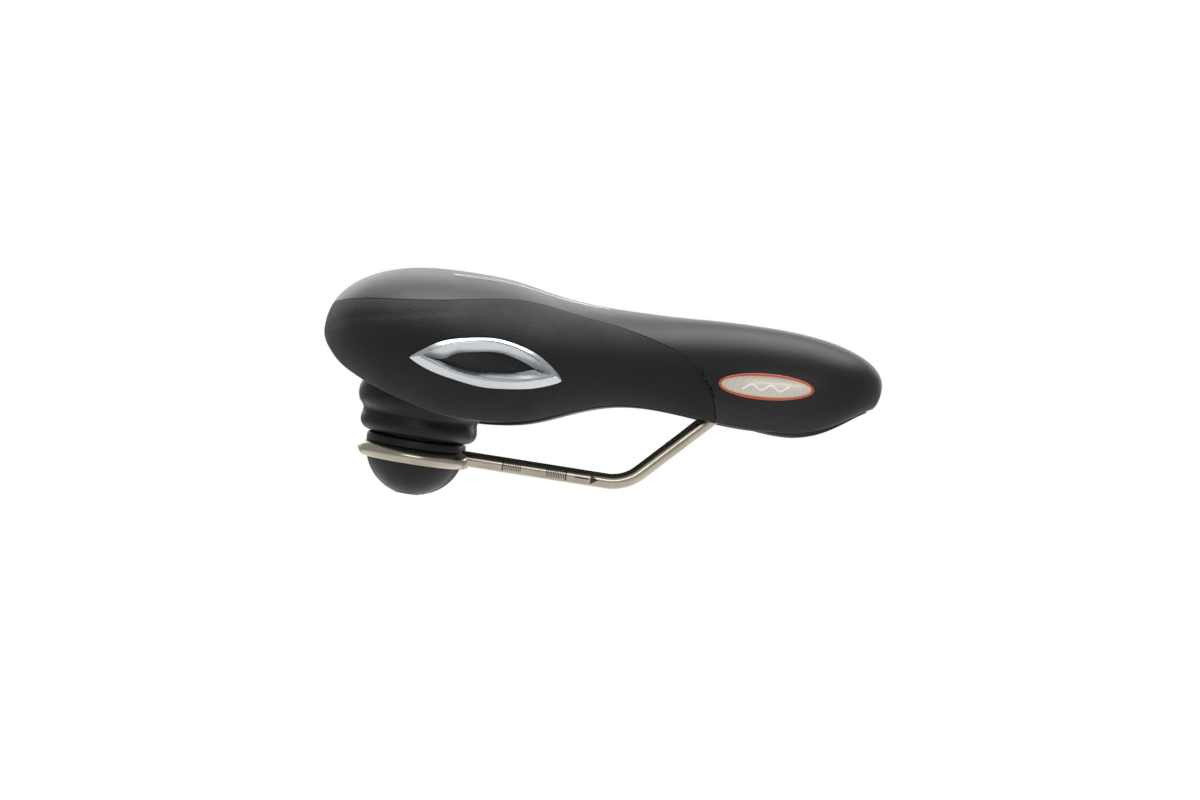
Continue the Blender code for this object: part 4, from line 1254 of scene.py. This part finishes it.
def swept(path, radius):
    """A round wire along a path of points in mm, its ends capped flat."""
    curve = bpy.data.curves.new("path", "CURVE")
    curve.dimensions = "3D"
    curve.bevel_depth = radius * mm
    curve.bevel_resolution = 11
    curve.use_fill_caps = True
    spline = curve.splines.new("POLY")
    spline.points.add(len(path) - 1)
    for point, p in zip(spline.points, path):
        point.co = (*(p * mm), 1)
    wire = linked("path", curve)
    bpy.context.view_layer.update()
    bm = bmesh.new()
    bm.from_mesh(worked_out(wire))
    bpy.data.objects.remove(wire)
    bmesh.ops.remove_doubles(bm, verts=bm.verts, dist=0.004 * mm)
    even(bm)
    return bm


def weld_bead(end, side):
    """A lumpy bead between the loop's end and its rail."""
    bm = bmesh.new()
    bmesh.ops.create_icosphere(bm, subdivisions=4, radius=1.0)
    for v in bm.verts:
        lump = 1 + 0.05 * math.sin(9 * v.co.y + 2 * v.co.x) + 0.03 * math.sin(14 * v.co.z)
        size = Vector(WELD_HALF) * lump
        spot = Vector((end.x + 0.6, (end.y + RAIL_Y) / 2, end.z / 2 + 0.3))
        p = spot + Vector([c * s for c, s in zip(v.co, size)])
        v.co = Vector((p.x, p.y * side, p.z)) * mm
    if side < 0:
        bmesh.ops.reverse_faces(bm, faces=bm.faces)
    return bm


def compare(made, value, middle, half):
    return calc(made, "COMPARE", value, middle, half)


def combined(made, operation, *values):
    """All the values through one operation, two at a time."""
    total = values[0]
    for value in values[1:]:
        total = calc(made, operation, total, value)
    return total


def nickel_steel():
    """Satin nickel plate on spring steel, drawn along the wire, with the printed scale."""
    made, shader, place = finish("satin_nickel_steel")
    x, y, z = axes_mm(made, place)
    outer_side = calc(made, "GREATER_THAN", calc(made, "ABSOLUTE", y), RAIL_Y + 1.0)
    stripe = calc(made, "FRACT", calc(made, "DIVIDE", x, SCALE_PITCH))
    fields = combined(made, "MAXIMUM", *(compare(made, x, *field) for field in SCALE_FIELDS))
    fine = combined(
        made, "MULTIPLY", compare(made, stripe, 0.25, 0.22), fields, compare(made, z, -0.5, 1.6)
    )
    ends = combined(made, "MAXIMUM", compare(made, x, -21.6, 0.3), compare(made, x, 7.6, 0.3))
    long_ticks = combined(made, "MULTIPLY", ends, compare(made, z, -0.5, 2.3))
    taper = calc(made, "MULTIPLY_ADD", x, -0.62, 22.4 * 0.62)
    height = calc(made, "ABSOLUTE", calc(made, "ADD", z, 0.5))
    inside = calc(made, "LESS_THAN", height, taper)
    arrow = combined(made, "MULTIPLY", inside, compare(made, x, 20.6, 1.7))
    bar = combined(made, "MULTIPLY", compare(made, x, 14.8, 3.2), compare(made, z, -0.5, 0.28))
    marks = combined(made, "MAXIMUM", fine, long_ticks, arrow, bar)
    marks = combined(made, "MULTIPLY", marks, outer_side)
    draw = node(made, "Mapping", Vector=place, Scale=(140.0, 1800.0, 1800.0)).outputs["Vector"]
    hair = noise(made, draw, 1.0, 3.0)
    plate = ramp(made, noise(made, place, 60.0, 3.0), "#a59d8d", "#b7b0a0", 0.3, 0.7)
    tone = node(made, "Mix", {"data_type": "RGBA"}, _0=marks, _6=plate, _7=linear("#141414"))
    dress(
        shader, Base_Color=tone.outputs[2], Metallic=calc(made, "SUBTRACT", 1.0, marks),
        Roughness=spread(made, hair, 0.23, 0.27), Normal=bumped(made, hair, 0.02, 0.00003),
    )
    return made


NICKEL = nickel_steel()
left = half_wire()
whole = [Vector((p.x, -p.y, p.z)) for p in reversed(left[1:])] + left
wire = make("rail_wire", swept(whole, RAIL_R), NICKEL, "rails", "steel", "rail_frame")
combine(wire, "UNION", weld_bead(left[-1], 1), weld_bead(left[-1], -1))

# ---- Elastomers -------------------------------------------------------------------------------
# Each spring is a soft black rubber bellows of two lobes over a rubber half ball. The ball's
# flange sits on the wire loop, which runs in a groove, and both are pressed in two half moulds
# that leave a fine parting line. A zinc plated washer lies between the two.

BALL_R = 21.5
BALL_Z = 2.9  # its centre above the loop's plane
FLANGE_R = 21.8
FLANGE_TOP = 7.6
SEAT_R = 15.0
SEAT_H = 1.0
SPRING_FOOT = FLANGE_TOP + SEAT_H + 0.8
BORE_R = 6.0
SEAT_Z = -1.5
POCKET_R = 9.6
MOUTH_R = 5.6
PARTING = math.radians(7.5)  # the mould's parting plane, turned from the saddle's width

BELLOWS = [  # radius and height of the spring's outside, from its head down
    (24.6, 32.5), (26.4, 31.4), (27.6, 29.6), (28.25, 27.4), (28.4, 25.2), (28.1, 23.0),
    (27.3, 21.0), (26.2, 19.6), (25.45, 18.4), (25.3, 17.2), (25.5, 15.8), (25.8, 14.2),
    (25.75, 12.4), (25.2, 10.8), (24.1, 9.5), (22.7, 8.7), (21.6, 8.45),
]
bellows = smooth_curve(BELLOWS)


def spring_profile():
    outside = [tuple(bellows(t)) for t in steps(0.0, len(BELLOWS) - 1, 64)]
    lip = SPRING_FOOT - 0.95
    inside = rounded(
        [(SEAT_R + 1.0, lip, 0.3), (SEAT_R + 1.0, SPRING_FOOT, 0.3), (BORE_R, SPRING_FOOT, 0.6),
         (BORE_R, SPRING_HEAD, 0.6)], False,
    )
    return outside + inside


def ball_profile():
    groove = RAIL_R + 0.15
    hollow = [
        (LOOP_R + groove * math.cos(math.radians(t)), groove * math.sin(math.radians(t)), 0)
        for t in steps(104.0, 256.0, 24)
    ]
    ball = [
        (BALL_R * math.cos(math.radians(t)), BALL_Z + BALL_R * math.sin(math.radians(t)), 0)
        for t in steps(-19.0, -76.0, 40)
    ]
    foot = -BALL_R + BALL_Z
    return rounded(
        [(BORE_R, FLANGE_TOP, 0.5), (FLANGE_R, FLANGE_TOP, 1.1), (FLANGE_R, groove, 0.5),
         *hollow, *ball, (4.7 + 1.4, foot + 0.55, 0.4), (MOUTH_R, foot + 2.2, 0.6),
         (MOUTH_R, -15.7, 0.3), (POCKET_R, -13.7, 0.6), (POCKET_R, SEAT_Z, 0.6),
         (BORE_R, SEAT_Z, 0.4)]
    )


def black_rubber():
    """Black natural rubber, moulded: near black, satin, with bloom and the mould's parting line."""
    made, shader, place = finish("black_rubber")
    x, y, _ = axes_mm(made, place)
    out = calc(made, "SUBTRACT", calc(made, "ABSOLUTE", y), LOOP_Y)
    lean = calc(made, "MULTIPLY_ADD", out, math.sin(PARTING), x)
    away = calc(made, "ABSOLUTE", calc(made, "SUBTRACT", lean, LOOP_X))
    seam_line = node(
        made, "MapRange", Value=away, From_Min=0.12, From_Max=0.4, To_Min=1.0, To_Max=0.0
    ).outputs["Result"]
    bloom = noise(made, place, 70.0, 4.0, Roughness=0.6)
    height = calc(made, "MULTIPLY_ADD", noise(made, place, 1500.0, 3.0), 0.25, seam_line)
    dress(
        shader, Base_Color=ramp(made, bloom, "#070707", "#121212", 0.3, 0.72),
        Roughness=spread(made, bloom, 0.34, 0.5), Normal=bumped(made, height, 0.5, 0.00018),
        Specular_IOR_Level=0.3,
    )
    return made


def zinc_plate():
    """Bright zinc plate on turned steel, a little blue, with fine turning marks."""
    made, shader, place = finish("zinc_plated_steel")
    fine = noise(made, place, 900.0, 3.0)
    dress(
        shader, Base_Color=linear("#c3c7cb"), Metallic=1.0,
        Roughness=spread(made, fine, 0.26, 0.4), Normal=bumped(made, fine, 0.15, 0.00005),
    )
    return made


def ring(inner_r, outer_r, low, high, place, soft=0.2):
    """A flat washer with eased edges."""
    corners = [(inner_r, high), (outer_r, high), (outer_r, low), (inner_r, low)]
    return spun(rounded([(*corner, soft) for corner in corners]), place, 72)


RUBBER = black_rubber()
ZINC = zinc_plate()
for side, word in SIDES:
    place = on_axis(side)
    spring = make(
        f"rubber_bellows_{word}", spun(spring_profile(), place, 120), RUBBER, "rails", "rubber",
        f"elastomer_spring_{word}",
    )
    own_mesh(spring)
    make(
        f"rubber_ball_{word}", spun(ball_profile(), place, 120), RUBBER, "rails", "rubber",
        f"elastomer_ball_{word}",
    )
    seat = ring(BORE_R, SEAT_R, FLANGE_TOP + 0.1, FLANGE_TOP + 0.1 + SEAT_H, place)
    make(f"seat_ring_{word}", seat, ZINC, "rails", "zinc_steel", f"seat_washer_{word}")

# ---- Bolts and nuts ---------------------------------------------------------------------------
# A zinc plated M6 socket cap bolt goes up through each ball and spring, with a washer under its
# head, into a nut held in the base's tower. Two self-tapping screws hold the clip under the nose.

HEAD_R = 5.0
HEAD_H = 3.5
HEAD_TOP = SEAT_Z - 1.8
BOLT_TOP = 43.3
THREAD_TOP = 42.7
THREAD_TURNS = 12
SOCKET = 5.0  # across the flats of its hexagonal socket


def bolt_bm(place):
    """The bolt with its head down: a thread on the top third, fine as rings."""
    shank = [(0.0, BOLT_TOP, 0), (2.5, BOLT_TOP, 0.2)]
    for k in range(THREAD_TURNS):
        top = THREAD_TOP - k
        shank += [(BOLT_R, top - 0.2, 0.08), (BOLT_R - 0.35, top - 0.7, 0.08)]
    shank += [
        (BOLT_R, 30.2, 0.1), (BOLT_R, HEAD_TOP, 0), (HEAD_R, HEAD_TOP, 0.25),
        (HEAD_R, HEAD_TOP - HEAD_H, 0.5), (0.0, HEAD_TOP - HEAD_H, 0),
    ]
    return spun(rounded(shank, False, 2), place, 48)


def screw_bm(place):
    """A self-tapping screw with its head down."""
    tip = [(0.0, 50.0, 0), (0.5, 49.6, 0)]
    for k in range(9):
        top = 49.2 - 1.3 * k
        crest, root = min(SCREW_R, 0.8 + 0.3 * k), min(1.15, 0.5 + 0.2 * k)
        tip += [(crest, top - 0.35, 0.05), (root, top - 0.95, 0.05)]
    tip += [(SCREW_R, 37.4, 0.1), (SCREW_R, 35.8, 0), (3.4, 35.8, 0.2), (3.3, 34.9, 0.5),
            (2.3, 34.0, 0.5), (0.0, 33.95, 0)]
    return spun(rounded(tip, False, 2), place, 36)


for side, word in SIDES:
    place = on_axis(side)
    bolt = make(
        f"cap_bolt_{word}", bolt_bm(place), ZINC, "saddle", "zinc_steel", f"elastomer_bolt_{word}"
    )
    foot = HEAD_TOP - HEAD_H
    combine(bolt, "DIFFERENCE", hexagon(SOCKET, foot - 1.0, foot + 2.2, place))
    washer = ring(BOLT_R + 0.2, 6.9, SEAT_Z - 1.6, SEAT_Z - 0.4, place)
    make(f"bolt_ring_{word}", washer, ZINC, "saddle", "zinc_steel", f"bolt_washer_{word}")
    nut = make(
        f"hex_nut_{word}", hexagon(10.0, NUT_LOW, NUT_HIGH, place), ZINC, "saddle", "zinc_steel",
        f"elastomer_nut_{word}",
    )
    combine(nut, "DIFFERENCE", post(BOLT_R + 0.1, 30.0, 47.0, place, count=48))
    eased = nut.modifiers.new("eased", "BEVEL")
    eased.width, eased.segments = 0.35 * mm, 3

# ---- Nose clip ----------------------------------------------------------------------------------
# A nylon cap under the nose holds the wire's cross bar up in the base's half bearing, on two
# screws.

CLIP_X, CLIP_Z = (91.5, 112.5), (36.0, 42.85)
clip = make(
    "bearing_cap", box_bm(CLIP_X, (-BLOCK_HALF, BLOCK_HALF), CLIP_Z, 1.6), NYLON, "saddle",
    "base_plastic", "nose_clip",
)
holes = [post(RAIL_R + 0.4, -20.0, 20.0, across_nose(PIVOT.x, PIVOT.z))]
for x in SCREW_X:
    holes.append(post(SCREW_R + 0.2, 30.0, 45.0, upright(x), count=32))
combine(clip, "DIFFERENCE", *holes)
for x, word in zip(SCREW_X, ("rear", "front")):
    screw = make(
        f"cap_screw_{word}", screw_bm(upright(x)), ZINC, "saddle", "zinc_steel",
        f"nose_clip_screw_{word}",
    )
    slots = [
        box_bm((x - long, x + long), (-wide, wide), (33.0, 34.8), 0.05)
        for long, wide in ((1.7, 0.35), (0.35, 1.7))
    ]
    combine(screw, "DIFFERENCE", *slots)

# ---- Studio ---------------------------------------------------------------------------------
# A white world over a pale floor disc, with a large soft box overhead, a second one behind, a strip
# in front, and the camera level with the saddle's side, rolled so that the rails run down to the
# right.

scene = bpy.context.scene
scene.view_settings.view_transform = "Standard"
scene.view_settings.look = "None"

VIEW_CENTRE = Vector((17.6, 0.0, 36.3)) * mm
VIEW_DISTANCE = 3.0
VIEW_WIDTH = 0.552
VIEW_RAISE = math.radians(-0.69)  # level with the rails
VIEW_ROLL = math.radians(8.95)
SENSOR = 36.0

camera_data = bpy.data.cameras.new("camera")
camera_data.sensor_width = SENSOR
camera_data.lens = SENSOR * VIEW_DISTANCE / VIEW_WIDTH
camera_data.clip_end = 20.0
camera = linked("camera", camera_data)
looking = Vector((0, math.cos(VIEW_RAISE), -math.sin(VIEW_RAISE)))
upright = Vector((-math.sin(VIEW_ROLL), 0, math.cos(VIEW_ROLL)))
sideways = looking.cross(upright).normalized()
upright = sideways.cross(looking)
turn = Matrix((sideways, upright, -looking)).transposed().to_4x4()
camera.matrix_world = Matrix.Translation(VIEW_CENTRE - looking * VIEW_DISTANCE) @ turn
scene.camera = camera

world = bpy.data.worlds.new("white_studio")
world.use_nodes = True
scene.world = world
tree = world.node_tree
back = tree.nodes["Background"]
back.inputs["Color"].default_value = (1, 1, 1, 1)
back.inputs["Strength"].default_value = 1.0
soft = tree.nodes.new("ShaderNodeBackground")
soft.inputs["Strength"].default_value = 0.55
mix = tree.nodes.new("ShaderNodeMixShader")
path = tree.nodes.new("ShaderNodeLightPath")
tree.links.new(path.outputs["Is Camera Ray"], mix.inputs[0])
tree.links.new(soft.outputs[0], mix.inputs[1])
tree.links.new(back.outputs[0], mix.inputs[2])
tree.links.new(mix.outputs[0], tree.nodes["World Output"].inputs["Surface"])


def soft_box(name, at, aim, width, height, watts):
    data = bpy.data.lights.new(name, "AREA")
    data.shape = "RECTANGLE"
    data.size = width
    data.size_y = height
    data.energy = watts
    box = linked(name, data)
    box.location = at
    box.rotation_euler = (Vector(aim) - Vector(at)).to_track_quat("-Z", "Y").to_euler()


soft_box("overhead_box", (0.0, 0.25, 1.3), (0.0, 0.0, 0.05), 1.8, 1.2, 24.0)
soft_box("back_box", (0.0, 1.8, 0.6), (0.0, 0.0, 0.06), 2.6, 1.0, 16.0)
soft_box("front_strip", (0.0, -2.2, 0.45), (0.0, 0.0, 0.03), 1.4, 0.25, 7.0)

floor_bm = bmesh.new()
bmesh.ops.create_circle(floor_bm, cap_ends=True, segments=96, radius=1.1)
bmesh.ops.translate(floor_bm, verts=floor_bm.verts, vec=(0, 0, -0.32))
floor = linked("floor", meshed("floor", floor_bm))
pale, shader, _ = finish("pale_floor")
dress(shader, Base_Color=linear("#f2f2f2"), Roughness=0.9)
floor.data.materials.append(pale)
